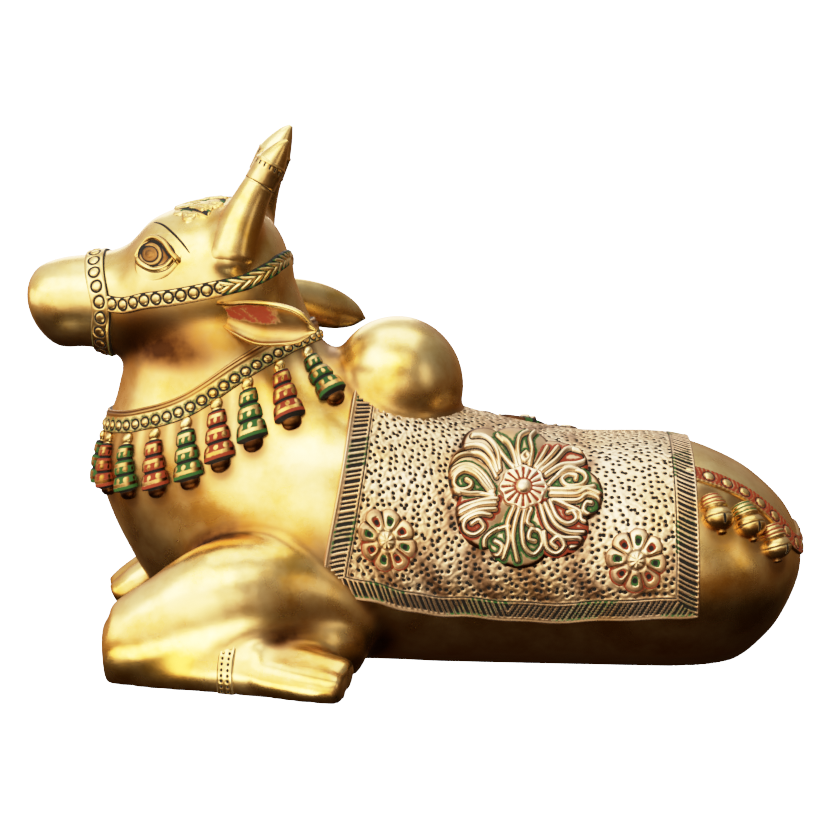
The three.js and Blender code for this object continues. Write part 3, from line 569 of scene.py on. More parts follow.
TO_CAMERA = np.array([
    math.sin(CAMERA_TURN) * math.cos(CAMERA_DROP), -math.cos(CAMERA_TURN) * math.cos(CAMERA_DROP),
    math.sin(CAMERA_DROP)])
CAMERA_RIGHT = np.array([math.cos(CAMERA_TURN), math.sin(CAMERA_TURN), 0])
ROOT_DEPTH = 2.5 * MM       # how far a relief's foot lies below the skin


def seat(form, index, turn):
    """The form's point, its unit normal away from the point opposite, and how far the point moves for one
    step of index and of turn."""
    step = 0.01
    here = form(index, turn)
    onward = (form(index + step, turn) - here) / step
    across = (form(index, turn + step) - here) / step
    normal = np.cross(onward, across)
    outward = here - form(index, turn + np.pi)
    normal *= np.sign((normal * outward).sum(-1, keepdims=True))
    return here, unit(normal), onward, across


def drawn(points):
    """Where points are seen from the side that the ornament was drawn from, in mm right of and above the
    middle. It is a perspective: the sideways and upward parts times distance / (distance - nearness). The
    far side is drawn as a mirror image of the near one."""
    shown = np.array(points)
    shown[..., 1] = -np.abs(shown[..., 1])
    shown -= CAMERA_TARGET
    scale = CAMERA_DISTANCE / (CAMERA_DISTANCE - shown @ TO_CAMERA) / MM
    return (shown @ CAMERA_RIGHT) * scale, (shown @ np.cross(TO_CAMERA, CAMERA_RIGHT)) * scale


def relief(name, material, form, index, turn, height, paint, hoop=False):
    """A closed piece over a grid of places on a form. Its top is the form's point plus the normal times
    the height in mm, and its foot lies below the skin along both long edges. A hoop's last row meets its
    first."""
    here, normal, _, _ = seat(form, index, turn)
    top = here + normal * (height * MM)[..., None]
    foot = here - normal * ROOT_DEPTH
    grid = np.concatenate([top, foot[:, -1:], foot[:, :1]], 1)
    points, faces = closed_tube(grid)
    if hoop:
        number = np.arange(grid.shape[0] * grid.shape[1]).reshape(grid.shape[:2])
        onward, right = np.roll(number, -1, 0), np.roll(number, -1, 1)
        points = points[:-2]
        faces = [np.stack([number, right, np.roll(right, -1, 0), onward], -1).reshape(-1, 4)]
    points[:, 2] = np.maximum(points[:, 2], 0)
    foot_columns = ((0, 0), (0, 2))
    padded = {key: np.pad(np.broadcast_to(value, index.shape), foot_columns) for key, value in paint.items()}
    finish_piece(piece_from(name, points, faces, padded), material)


def disc(count, radius, edge=lambda angle: 1.0):
    """A square grid bent into a disc, as mm across and up: x is a * sqrt(1 - b * b / 2), y is the same with
    a and b changed over. Also the distance to the edge."""
    a, b = grid_of(np.linspace(-1, 1, count), np.linspace(-1, 1, count))
    x, y = a * np.sqrt(1 - b * b / 2), b * np.sqrt(1 - a * a / 2)
    reach = radius * edge(np.arctan2(y, x))
    return x * reach, y * reach, (1 - np.hypot(x, y)) * reach


def rounded(distance, radius):
    """The height of a ball of radius 1: the square root of 1 - (distance / radius) squared."""
    return np.sqrt(np.clip(1 - (distance / radius) ** 2, 0, 1))


def strand(x, y, path, half_width, pace=14):
    """A rounded ridge along a curve, and the distance to the curve."""
    curve = along(path, np.linspace(0, len(path) - 1, pace * (len(path) - 1) + 1))
    gap = np.full(x.shape, 1e9)
    longest = np.ptp(curve, axis=0).max() + 2 * half_width
    near = np.hypot(x - curve[:, 0].mean(), y - curve[:, 1].mean()) < longest
    gap[near] = np.hypot(x[near][:, None] - curve[:, 0], y[near][:, None] - curve[:, 1]).min(1)
    return rounded(gap, half_width), gap


def placed(form, place, x, y, side):
    """Index and turn of places that lie x mm along the form's index and y mm up from a middle place."""
    _, _, onward, across = seat(form, np.array(place[0]), np.array(place[1]))
    index = place[0] + x * MM / np.linalg.norm(onward)
    return index, side * (place[1] - y * MM / np.linalg.norm(across))


for name, side in (("eye_near", 1), ("eye_far", -1)):
    x, y, rim = disc(EYE_PATCH_COUNT, EYE_PATCH_RADIUS)
    index, turn = placed(head_form, EYE_PATCH_AT, x, y, side)
    right, up = drawn(head_form(index, turn))
    middle = drawn(head_form(np.array(IRIS_AT[0]), np.array(side * IRIS_AT[1])))
    right, up = right - middle[0], up - middle[1]
    upper, upper_gap = strand(right, up, UPPER_LID, 1.0)
    lower, lower_gap = strand(right, up, LOWER_LID, 0.8)
    lid_gap = np.minimum(upper_gap, lower_gap)
    reach = np.hypot(right, up)
    ball = rounded(np.hypot((right - 1.2) / 8.5, up / 6.2), 1)
    rings = sum(peak(reach, radius, width) for radius, width in IRIS_RINGS)
    swell = 0.9 * peak(lid_gap, 0, 3.2)
    height = -0.4 + swell + 0.9 * ball + 0.55 * rounded(reach, IRIS_RADIUS)
    height = height - 0.3 * rings + 0.35 * rounded(reach, PUPIL_RADIUS)
    height = np.maximum(height, swell * 0.6 + np.maximum(1.5 * upper, 1.0 * lower))
    wrinkle = sum(peak(strand(right, up, path, 0.5)[1], 0, 0.3) for path in INNER_WRINKLES)
    crease = peak(upper_gap, 1.4, 0.5) * (ball > 0)
    lid_line = peak(lid_gap, 1.2, 0.3) * (right > -6.4)
    edge_fade = step_up(0, 2.5, rim)
    height = height * edge_fade - 0.45 * (1 - edge_fade) - 0.2 * wrinkle
    inside = (ball > 0.15) & (upper < 0.2) & (lower < 0.2)
    corner_brown = inside * (0.6 + 0.4 * step_up(3, 8, right) + 0.2 * (reach < 3))
    relief(name, skin_brass, head_form, index, turn, height, {
        "patina": 0.75 * rings * inside + 0.9 * wrinkle + crease * inside + 0.62 * lid_line,
        "lacquer": corner_brown + 0.6 * crease + 0.3 * upper})


def measured(form, route, steps):
    """A route's keys as index and turn, fine steps along them, and the length run at each step."""
    keys = np.array([(at, math.radians(degrees)) for at, degrees in route])
    fine = np.linspace(0, len(keys) - 1, steps)
    line = form(*np.moveaxis(along(keys, fine), -1, 0))
    run = np.concatenate([[0], np.cumsum(np.linalg.norm(np.diff(line, axis=0), axis=1))])
    return keys, fine, run


def on_route(form, route, width, count, across, hoop=False):
    """A grid along a route over a form: evenly spaced by length, and to both sides by the move along the
    surface that each sideways step needs. Gives index, turn, and mm along and across."""
    keys, fine, run = measured(form, route, 1200)
    length = np.linspace(0, run[-1], count, endpoint=not hoop)
    u = np.interp(length, run, fine)
    at, turn = np.moveaxis(along(keys, u), -1, 0)
    _, normal, onward, around = seat(form, at, turn)
    near = [form(*np.moveaxis(along(keys, np.clip(u + d, 0, len(keys) - 1)), -1, 0)) for d in (-0.02, 0.02)]
    side = unit(np.cross(near[1] - near[0], normal))
    along_along, along_around, around_around, side_along, side_around = (
        (p * q).sum(1) for p, q in (
            (onward, onward), (onward, around), (around, around), (side, onward), (side, around)))
    whole = along_along * around_around - along_around ** 2
    per_index = (side_along * around_around - side_around * along_around) / whole
    per_turn = (side_around * along_along - side_along * along_around) / whole
    t = np.linspace(-width / 2, width / 2, across)
    index = at[:, None] + per_index[:, None] * t * MM
    turn = turn[:, None] + per_turn[:, None] * t * MM
    return index, turn, np.broadcast_to(length[:, None] / MM, index.shape), np.broadcast_to(t, index.shape)


for name, side in (("brow_near", 1), ("brow_far", -1)):
    route = [(at, side * degrees) for at, degrees in BROW]
    index, turn, run, across = on_route(head_form, route, BROW_WIDTH, 90, 9)
    taper = np.sin(np.pi * np.clip(run / run.max(), 0, 1)) ** 0.5
    height = 0.75 * rounded(across, BROW_WIDTH / 2) * taper - 0.3
    relief(name, skin_brass, head_form, index, turn, height, {"patina": 1.0})


# The leafy crest lies between the horns: soft strokes of wax laid backwards like hair, with green in
# the gaps and bare brass on the ridges.
CREST = (8.75, 0.0)
CREST_RADIUS, CREST_DEPTH = 22.0, 0.62     # mm to the sides, and the share of that forwards
CREST_COUNT, STROKES = 120, 90
crest_random = np.random.default_rng(5)
x, y, rim = disc(CREST_COUNT, CREST_RADIUS, lambda angle: 0.86 + 0.14 * np.abs(np.cos(5 * angle)))
x = CREST_DEPTH * x
index, turn = placed(head_form, CREST, x, y, 1)
leaves = np.zeros(x.shape)
for _ in range(STROKES):
    start = crest_random.uniform((-14, -20), (8, 20))
    if np.hypot(start[0] / CREST_DEPTH, start[1]) > CREST_RADIUS:
        continue
    fan = 0.25 * start[1] + crest_random.uniform(-1.2, 1.2)
    path = [start, start + [2.4, 0.35 * fan], start + [4.8, fan]]
    leaves = np.maximum(leaves, crest_random.uniform(0.6, 1) * strand(x, y, path, 1.0)[0])
gaps = 1 - step_up(0.1, 0.6, leaves)
edge_fade = step_up(0, 3, rim)
height = (0.25 + 0.75 * leaves) * edge_fade - 0.4 * (1 - edge_fade)
black_flecks = (leaves < 0.02) * (np.cos(0.9 * y + 0.7 * x) > 0.3)
relief("crest", skin_brass, head_form, index, turn, height, {
    "green": 0.9 * gaps * edge_fade * step_up(-0.6, 0.2, np.sin(0.45 * x + 0.3 * np.abs(y))),
    "lacquer": 0.3 * gaps * edge_fade, "patina": 0.62 * black_flecks * edge_fade})


# The halter is wax tape laid on the head: a noseband and a strap past each cheek to behind the horns.
# Rings were punched along it, and green lacquer stays behind the last of them, where it turns leafy.
NOSEBAND = [(4.35, 0), (4.62, 45), (5.03, 90), (4.9, 122), (4.7, 180)]
CHEEK_STRAP = [
    (5.2, 86), (7.3, 88.5), (8.6, 89.5), (9.9, 88.4), (10.5, 85), (11.2, 77), (11.7, 67), (12.2, 45),
    (12.4, 0)]
NOSEBAND_WIDTH, NOSEBAND_THICKNESS = 8.0, 1.5
NOSEBAND_PITCH, NOSEBAND_RING = 5.7, 2.15       # mm from ring to ring, and a ring's radius
CHEEK_STRAP_WIDTH, CHEEK_STRAP_THICKNESS = 6.5, 1.2
CHEEK_STRAP_PITCH, CHEEK_STRAP_RING = 5.0, 2.0
RINGS_ON_STRAP = 9
LEAF_PITCH = 4.2


def tape(across, width, thickness):
    """A tape's height: flat, with edges rounded over a millimetre and sunk 0.3 mm at the very edge."""
    return (thickness + 0.3) * rolled(width / 2 - np.abs(across), 1.0) - 0.3


def tape_side(across, width, start=0.5):
    """How far a place is on a tape's steep side, where black lies."""
    return step_up(width / 2 - start, width / 2 - 0.2, np.abs(across))


def both_sides(route, meet):
    """A route from its start to the far side, where its turns are those on the near side taken from the
    turn at which the two halves meet."""
    return route + [(at, meet - degrees) for at, degrees in route[-2::-1]]


def hoop_pitch(run, about):
    """The pitch nearest to a given one that divides a hoop's length evenly."""
    length = 2 * run[-1, 0] - run[-2, 0]
    return length / round(length / about)


def repeated(run, pitch, start):
    """The length from the middle of the step that a place lies in, in a row of steps of one pitch."""
    return (run + start) % pitch - pitch / 2


def punched_ring(along_run, across, radius):
    """A punched ring and the soft bead inside it, from the distance to the ring's middle."""
    reach = np.hypot(along_run, across)
    return peak(reach, radius, 0.45), rounded(reach, 0.8 * radius)


index, turn, run, across = on_route(head_form, both_sides(NOSEBAND, 360), NOSEBAND_WIDTH, 420, 26, hoop=True)
pitch = hoop_pitch(run, NOSEBAND_PITCH)
ring, bead = punched_ring(repeated(run, pitch, pitch / 2), across, NOSEBAND_RING)
lines = peak(np.abs(across), 3.3, 0.22)
below = step_up(math.radians(95), math.radians(150), np.minimum(turn, 2 * np.pi - turn))
height = tape(across, NOSEBAND_WIDTH, NOSEBAND_THICKNESS) - 0.35 * ring + 0.3 * bead - 0.2 * lines
# Under the muzzle the noseband is browner: painted shade where it faces the ground.
relief("noseband", skin_brass, head_form, index, turn, height, {
    "patina": 1.05 * ring + tape_side(across, NOSEBAND_WIDTH), "green": (0.55 + 0.35 * below) * lines,
    "lacquer": 0.1 + 0.6 * below}, hoop=True)

index, turn, run, across = on_route(head_form, both_sides(CHEEK_STRAP, 0), CHEEK_STRAP_WIDTH, 640, 24)
run = np.minimum(run, run.max() - run)
on_rings = 1 - step_up(0, 1, run - CHEEK_STRAP_PITCH * RINGS_ON_STRAP - 3.0)
ring, bead = punched_ring(repeated(run, CHEEK_STRAP_PITCH, -1.0), across + 0.2, CHEEK_STRAP_RING)
chain = (run / LEAF_PITCH + 0.5 * np.abs(across + 0.2)) % 1
scale = np.sin(np.pi * chain) ** 0.6 * np.clip(1.2 - np.abs(across) / 3.4, 0, 1)
lower_lip = peak(across, 2.75, 0.45)
upper_line = peak(across, -2.8, 0.2)
height = tape(across, CHEEK_STRAP_WIDTH, CHEEK_STRAP_THICKNESS) + 0.3 * lower_lip - 0.2 * upper_line
height = height + on_rings * (0.3 * bead - 0.35 * ring) + (1 - on_rings) * (0.9 * scale - 0.3)
leafy = (1 - on_rings) * (1 - step_up(0.35, 0.8, scale))
black = 1.05 * on_rings * ring + 0.6 * upper_line + 0.9 * leafy * (scale < 0.4)
relief("cheek_straps", skin_brass, head_form, index, turn, height, {
    "patina": black + tape_side(across, CHEEK_STRAP_WIDTH, 0.45),
    "green": 0.9 * leafy, "lacquer": 0.1 + 0.5 * (across > 2)})


# The collar is a wax band round the neck with a doubled upper edge and a row of ringed beads. Small
# tiered bells hang from it and lie on the chest. Their grooves are painted red and green in turn.
COLLAR = [(12.55, 0), (12.85, 30), (12.87, 60), (12.66, 90), (12.97, 120), (13.29, 150), (13.4, 180)]
COLLAR_WIDTH, COLLAR_THICKNESS = 9.0, 1.4
COLLAR_PITCH, COLLAR_RING = 4.8, 1.8
BELL_LENGTH, BELL_RADIUS, BELL_SPACING = 24 * MM, 6.0 * MM, 13.2 * MM
BELL_FLATNESS = 0.62
BELL_STAND = 0.18           # how far a bell's middle stands off the skin, as a share of its radius
BELL_HANG = np.array([0.35, 0, -1])
TIER_GROOVES = (0.40, 0.62)
TIER_RIDGES = (0.27, 0.48, 0.76)
DOT_ROWS = (0.335, 0.55, 0.69)

collar_route = both_sides(COLLAR, 360)
index, turn, run, across = on_route(trunk_form, collar_route, COLLAR_WIDTH, 760, 24, hoop=True)
pitch = hoop_pitch(run, COLLAR_PITCH)
from_bead = repeated(run, pitch, pitch / 2)
ring, bead = punched_ring(from_bead, across + 1.6, COLLAR_RING)
round_ring = np.exp(-((np.hypot(from_bead, across + 1.6) - 2.3) / 1.1) ** 4)
between = peak(across, 3.2, 0.22)
height = tape(across, COLLAR_WIDTH, COLLAR_THICKNESS) - 0.45 * ring + 0.55 * bead
height = height + 0.35 * (peak(across, 2.5, 0.45) + peak(across, 3.9, 0.4))
relief("collar", skin_brass, trunk_form, index, turn, height, {
    "patina": 0.95 * ring + 0.5 * between + tape_side(across, COLLAR_WIDTH), "green": 0.6 * round_ring,
    "lacquer": 0.15 + 0.6 * between + 0.4 * (across > 1.5)}, hoop=True)


def hung(form, at, turn, hang, drop, depths):
    """Follows pieces down a form. From each seat the way down is the hanging direction less its part along
    the normal, and each step moves the place by the share that lies along index and turn."""
    reached, rows = -drop, []
    for depth in depths:
        _, normal, onward, across = seat(form, at, turn)
        way = unit(hang - normal * (normal @ hang)[:, None])
        at = at + (depth - reached) * (way * onward).sum(1) / (onward ** 2).sum(1)
        turn = turn + (depth - reached) * (way * across).sum(1) / (across ** 2).sum(1)
        reached = depth
        here, normal, _, _ = seat(form, at, turn)
        rows.append((here, normal, np.cross(way, normal)))
    return [np.stack(part, 1) for part in zip(*rows)]


def bells(name, at, turn, hang, drop, size, profile, paint_of, rings=66, around=28):
    """Bells as turned pieces of a length, radius and flatness: each ring lies across the way down, as wide
    as the profile says there, as deep as that times the flatness, and raised by a share of its radius.
    Several bells make one object. Gives the places below the bells' middles."""
    length, radius, flatness = size
    depth = np.linspace(0, 1, rings)
    place, normal, side = hung(trunk_form, at, turn, hang, drop, depth * length)
    down, angle = grid_of(depth, all_round(around))
    wide = radius * profile(down)[..., None]
    sideways = wide * np.cos(angle)[..., None]
    outward = wide * (flatness * np.sin(angle)[..., None] + BELL_STAND)
    grids = place[:, :, None] + side[:, :, None] * sideways + normal[:, :, None] * outward
    marks = [paint_of(number, down, angle) for number in range(len(at))]
    merged = {
        key: np.concatenate([np.pad(mark[key].ravel(), (0, 2)) for mark in marks]) for key in marks[0]}
    finish_piece(piece_from(name, *closed_tubes(grids), merged), skin_brass)
    return place


def tiered_bell(down):
    """Share of the radius down a bell: a bead, three flaring tiers parted by grooves, a rim and a clapper."""
    bead = 0.38 * rounded(down - 0.10, 0.1)
    body = (0.50 + 0.50 * np.clip((down - 0.18) / 0.66, 0, 1) ** 1.1) * step_up(0.16, 0.20, down)
    grooves = sum(peak(down, at, 0.026) for at in TIER_GROOVES)
    tiers = 0.05 * np.abs(np.sin(np.pi * (down - 0.18) / 0.22))
    body = (body + tiers) * (1 - 0.2 * grooves) * (1 - step_up(0.84, 0.87, down))
    clapper = 0.62 * rounded(down - 0.89, 0.11) * (down > 0.8)
    return np.maximum(np.maximum(bead, body), clapper) + 0.02


def tiered_paint(number, down, angle):
    """The tiers are painted red or green by turns, with bare ridges and rows of bare dots, black cuts
    between them, and a dark rim and clapper."""
    ridges = np.clip(sum(peak(down, at, 0.022) for at in TIER_RIDGES), 0, 1)
    body = step_up(0.19, 0.21, down) * (1 - step_up(0.83, 0.86, down))
    rows = np.clip(sum(peak(down, at, 0.03) for at in DOT_ROWS), 0, 1)
    dots = step_up(0.1, 0.7, np.cos(8 * angle)) * rows
    paint = 0.9 * body * (1 - ridges) * (1 - 1.2 * dots)
    cuts = sum(peak(down, at, 0.024) for at in (0.2, *TIER_GROOVES, 0.85))
    # Painted shade on each bell's sides, where it lies against the skin between its neighbours.
    side_shade = 0.7 * step_up(0.6, 0.95, np.abs(np.cos(angle)))
    is_red = (number + first_red) % 2 == 0
    return {"red": paint * is_red, "green": paint * (not is_red), "patina": 0.95 * cuts,
            "lacquer": (0.35 + side_shade) * (down > 0.2) + step_up(0.85, 0.88, down)}


keys, fine, run = measured(trunk_form, collar_route, 2401)
bell_count = 2 * int((run[-1] / 2 - BELL_SPACING / 2) // BELL_SPACING)
first_red = (bell_count // 2) % 2
from_breast = BELL_SPACING * (np.arange(bell_count) - (bell_count - 1) / 2)
hook_at, hook_turn = np.moveaxis(along(keys, np.interp(run[-1] / 2 + from_breast, run, fine)), -1, 0)
bell_places = bells(
    "collar_bells", hook_at, hook_turn, BELL_HANG, COLLAR_WIDTH / 2 * MM,
    (BELL_LENGTH, BELL_RADIUS, BELL_FLATNESS), tiered_bell, tiered_paint)


# The saddle cloth is a wax sheet laid over the back before casting. A ball punch covered it with pits,
# and a chisel cut the slanting strokes of its hem. Black stays in both. The cloth turns red-brown low down,
# and painted shadow lies in a ring round the great flower.
CLOTH_THICKNESS = 1.3
CLOTH_FRONT, CLOTH_REAR = 7.98, 3.74        # index on the trunk
CLOTH_SWEEP = 0.2           # how far the front edge sweeps forwards at its foot, as index
CLOTH_OVERLAP = math.radians(6)
HEM_WIDTH, STROKE_PITCH = 8.6, 1.9
DOT_SPACING, DOT_RADIUS = 2.7, 0.62
CLOTH_PALE, CLOTH_DEEP = "#F0D9B4", "#D8B27C"
FLOWER_SHADOW_MIDDLE = (5.56, math.radians(51.5))    # the painted shadow round the great flower spreads from here
FLOWER_SHADOW_RADIUS, FLOWER_SHADOW_SHARE = 29.0, 0.86        # its inner edge in mm, and its height as a share of its width


def cloth_edge(index):
    """The turn of the cloth's lower edge: highest at the rear, lowest in the middle, with a slight wave."""
    share = (index - CLOTH_REAR) / (CLOTH_FRONT - CLOTH_REAR)
    wave = 0.5 * np.sin(19 * share + 1) + 0.3 * np.sin(43 * share)
    return np.radians(104 + 20 * share - 16 * share ** 2 + wave)


def to_nearest_pit(rear, foot):
    """The distance to the nearest pit. The pits stand in columns, every second one half a step lower, and
    each wanders from its place by up to a third of a step."""
    jitter = np.random.default_rng(11).uniform(-0.34, 0.34, (64, 64, 2))
    along_cloth, up_cloth = rear / DOT_SPACING, foot / DOT_SPACING
    nearest = np.full(rear.shape, 9.0)
    for i in (-1, 0, 1):
        for j in (-1, 0, 1):
            column = np.floor(along_cloth) + i
            shift = 0.5 * (column % 2)
            row = np.floor(up_cloth + shift) + j
            wander = jitter[column.astype(int) % 64, row.astype(int) % 64]
            away = np.hypot(
                along_cloth - column - 0.5 - wander[..., 0], up_cloth - (row + 0.5 - shift) - wander[..., 1])
            nearest = np.minimum(nearest, away * DOT_SPACING)
    return nearest


def saddle_cloth(name, side, rows, columns, overlap):
    """Half of the cloth from the back's middle to the hem. Its pits are points of a jittered grid, and its
    hem strokes are bands of a slanting distance from the edges."""
    share, down = grid_of(np.linspace(0, 1, rows), np.linspace(0, 1, columns))
    index = CLOTH_REAR + (CLOTH_FRONT + CLOTH_SWEEP * step_up(0.5, 1.05, down) - CLOTH_REAR) * share
    turn = -overlap + (cloth_edge(index) + overlap) * down
    _, _, onward, across = seat(trunk_form, index, turn)
    per_row = np.linalg.norm(onward, axis=-1) * (CLOTH_FRONT - CLOTH_REAR) / (rows - 1) / MM
    per_column = np.linalg.norm(across, axis=-1) * (cloth_edge(index) + overlap) / (columns - 1) / MM
    rear = np.cumsum(per_row, 0) - per_row[0]
    front = rear[-1] - rear
    foot = np.cumsum(per_column, 1)
    foot = foot[:, -1:] - foot
    edge = np.minimum(np.minimum(rear, front), foot)
    field = step_up(HEM_WIDTH + 0.3, HEM_WIDTH + 0.9, edge)

    nearest = to_nearest_pit(rear, foot)
    pit = np.clip(1 - (nearest / (1.35 * DOT_RADIUS)) ** 2, 0, 1) * field
    black_dot = (1 - step_up(0.8 * DOT_RADIUS, 1.5 * DOT_RADIUS, nearest)) * field
    at_front, at_foot = front < np.minimum(rear, foot), foot < np.minimum(rear, front)
    slant = np.where(at_front, (foot - 0.5 * front) / 2.0, (foot - 0.58 * rear) / STROKE_PITCH)
    mitred = (front + np.where(front < rear, 0.5, -0.5) * foot) / STROKE_PITCH
    slant = np.where(at_foot, mitred, slant)
    phase = np.abs((slant + 0.12 * np.sin(2.3 * slant)) % 1 - 0.5)
    margin = np.where(rear <= np.minimum(front, foot), 1.2, 2.4)
    in_hem = step_up(margin - 0.4, margin + 0.4, edge) * (1 - step_up(7.5, 8.1, edge))
    stroke = (1 - step_up(0.2, 0.38, phase)) * in_hem
    inner_line = peak(edge, HEM_WIDTH, 0.32)
    lip = np.clip(1 - ((edge - 0.9) / 0.8) ** 2, 0, 1)
    rough = 0.10 * np.sin(1.9 * rear + 1.3 * np.sin(1.1 * foot)) * np.sin(1.7 * foot + np.sin(1.3 * rear))
    height = (CLOTH_THICKNESS + 0.3 + (1 - field) * 0.3 + 0.3 * lip) * rolled(edge, 0.9) - 0.3
    height += field * rough - 0.55 * pit - 0.45 * stroke - 0.35 * inner_line

    right, up = drawn(trunk_form(index, turn))
    middle = drawn(trunk_form(*map(np.array, FLOWER_SHADOW_MIDDLE)))
    from_flower = np.hypot(right - middle[0], (up - middle[1]) / FLOWER_SHADOW_SHARE) - FLOWER_SHADOW_RADIUS
    # Painted shadow in a ring round the great flower. The cloth also turns red-brown towards its foot.
    flower_shadow = peak(np.clip(from_flower, 0, None), 0, 5)
    low = 1 - step_up(8, 46, foot)
    low_brown_and_flower_shadow = np.clip(0.9 * low + 0.7 * flower_shadow, 0, 1) * field
    brown_patches = 0.5 + 0.5 * np.sin(0.35 * rear + 1.5 * np.sin(0.21 * foot))
    red_patches = step_up(0.3, 1, np.sin(0.5 * rear + 0.8 * np.sin(0.3 * foot)) * np.sin(0.37 * foot))
    greenish = step_up(-0.2, 0.5, np.sin(0.21 * foot + 0.17 * rear)) * (1 - field) * step_up(1.3, 2.0, edge)
    relief(name, cloth_brass, trunk_form, index, side * turn, height, {
        "patina": black_dot + stroke + 0.8 * inner_line,
        "green": greenish * (0.3 + 0.45 * (1 - step_up(0.25, 0.5, phase))),
        "red": 0.45 * low_brown_and_flower_shadow * red_patches,
        "lacquer": 0.2 + 0.22 * (1 - field) + 0.6 * low_brown_and_flower_shadow * brown_patches})


cloth_brass = cast_brass("punched cast brass", gloss=0.34, grain=1.2, pale=CLOTH_PALE, deep=CLOTH_DEEP)
# The halves lie over each other by a strip at the back's middle. The far one has a coarser grid.
saddle_cloth("cloth_near", 1, 318, 290, CLOTH_OVERLAP)
saddle_cloth("cloth_far", -1, 190, 176, -CLOTH_OVERLAP)


# The great flower was carved in wax apart and pressed on to the cloth: eight leaves of scrolling strands
# round a boss with petals. Red and green lacquer fill the gaps by turns, and the ridges are rubbed bare.
MEDALLION = (5.58, math.radians(49.8))
MEDALLION_RADIUS = 30.3
FLOWER_MIDDLE = (42.5, -30.4)       # the boss's middle as drawn from the side, in mm
BOSS_RADIUS, BOSS_BEAD_RADIUS = 9.3, 2.8
BOSS_UP, BOSS_SHARE = 1.5, 0.9      # mm above that middle, and the boss's height as a share of its width
STRAND_HALF_WIDTH = 0.95
# The paint between the strands of each leaf, and how much of it is left.
LEAF_PAINT = {
    "W": ("green", 1.0), "N": ("green", 1.0), "E": ("green", 1.0), "S": ("green", 1.0),
    "NE": ("red", 1.0), "SE": ("red", 1.0), "SW": ("red", 1.0), "NW": ("red", 0.25)}
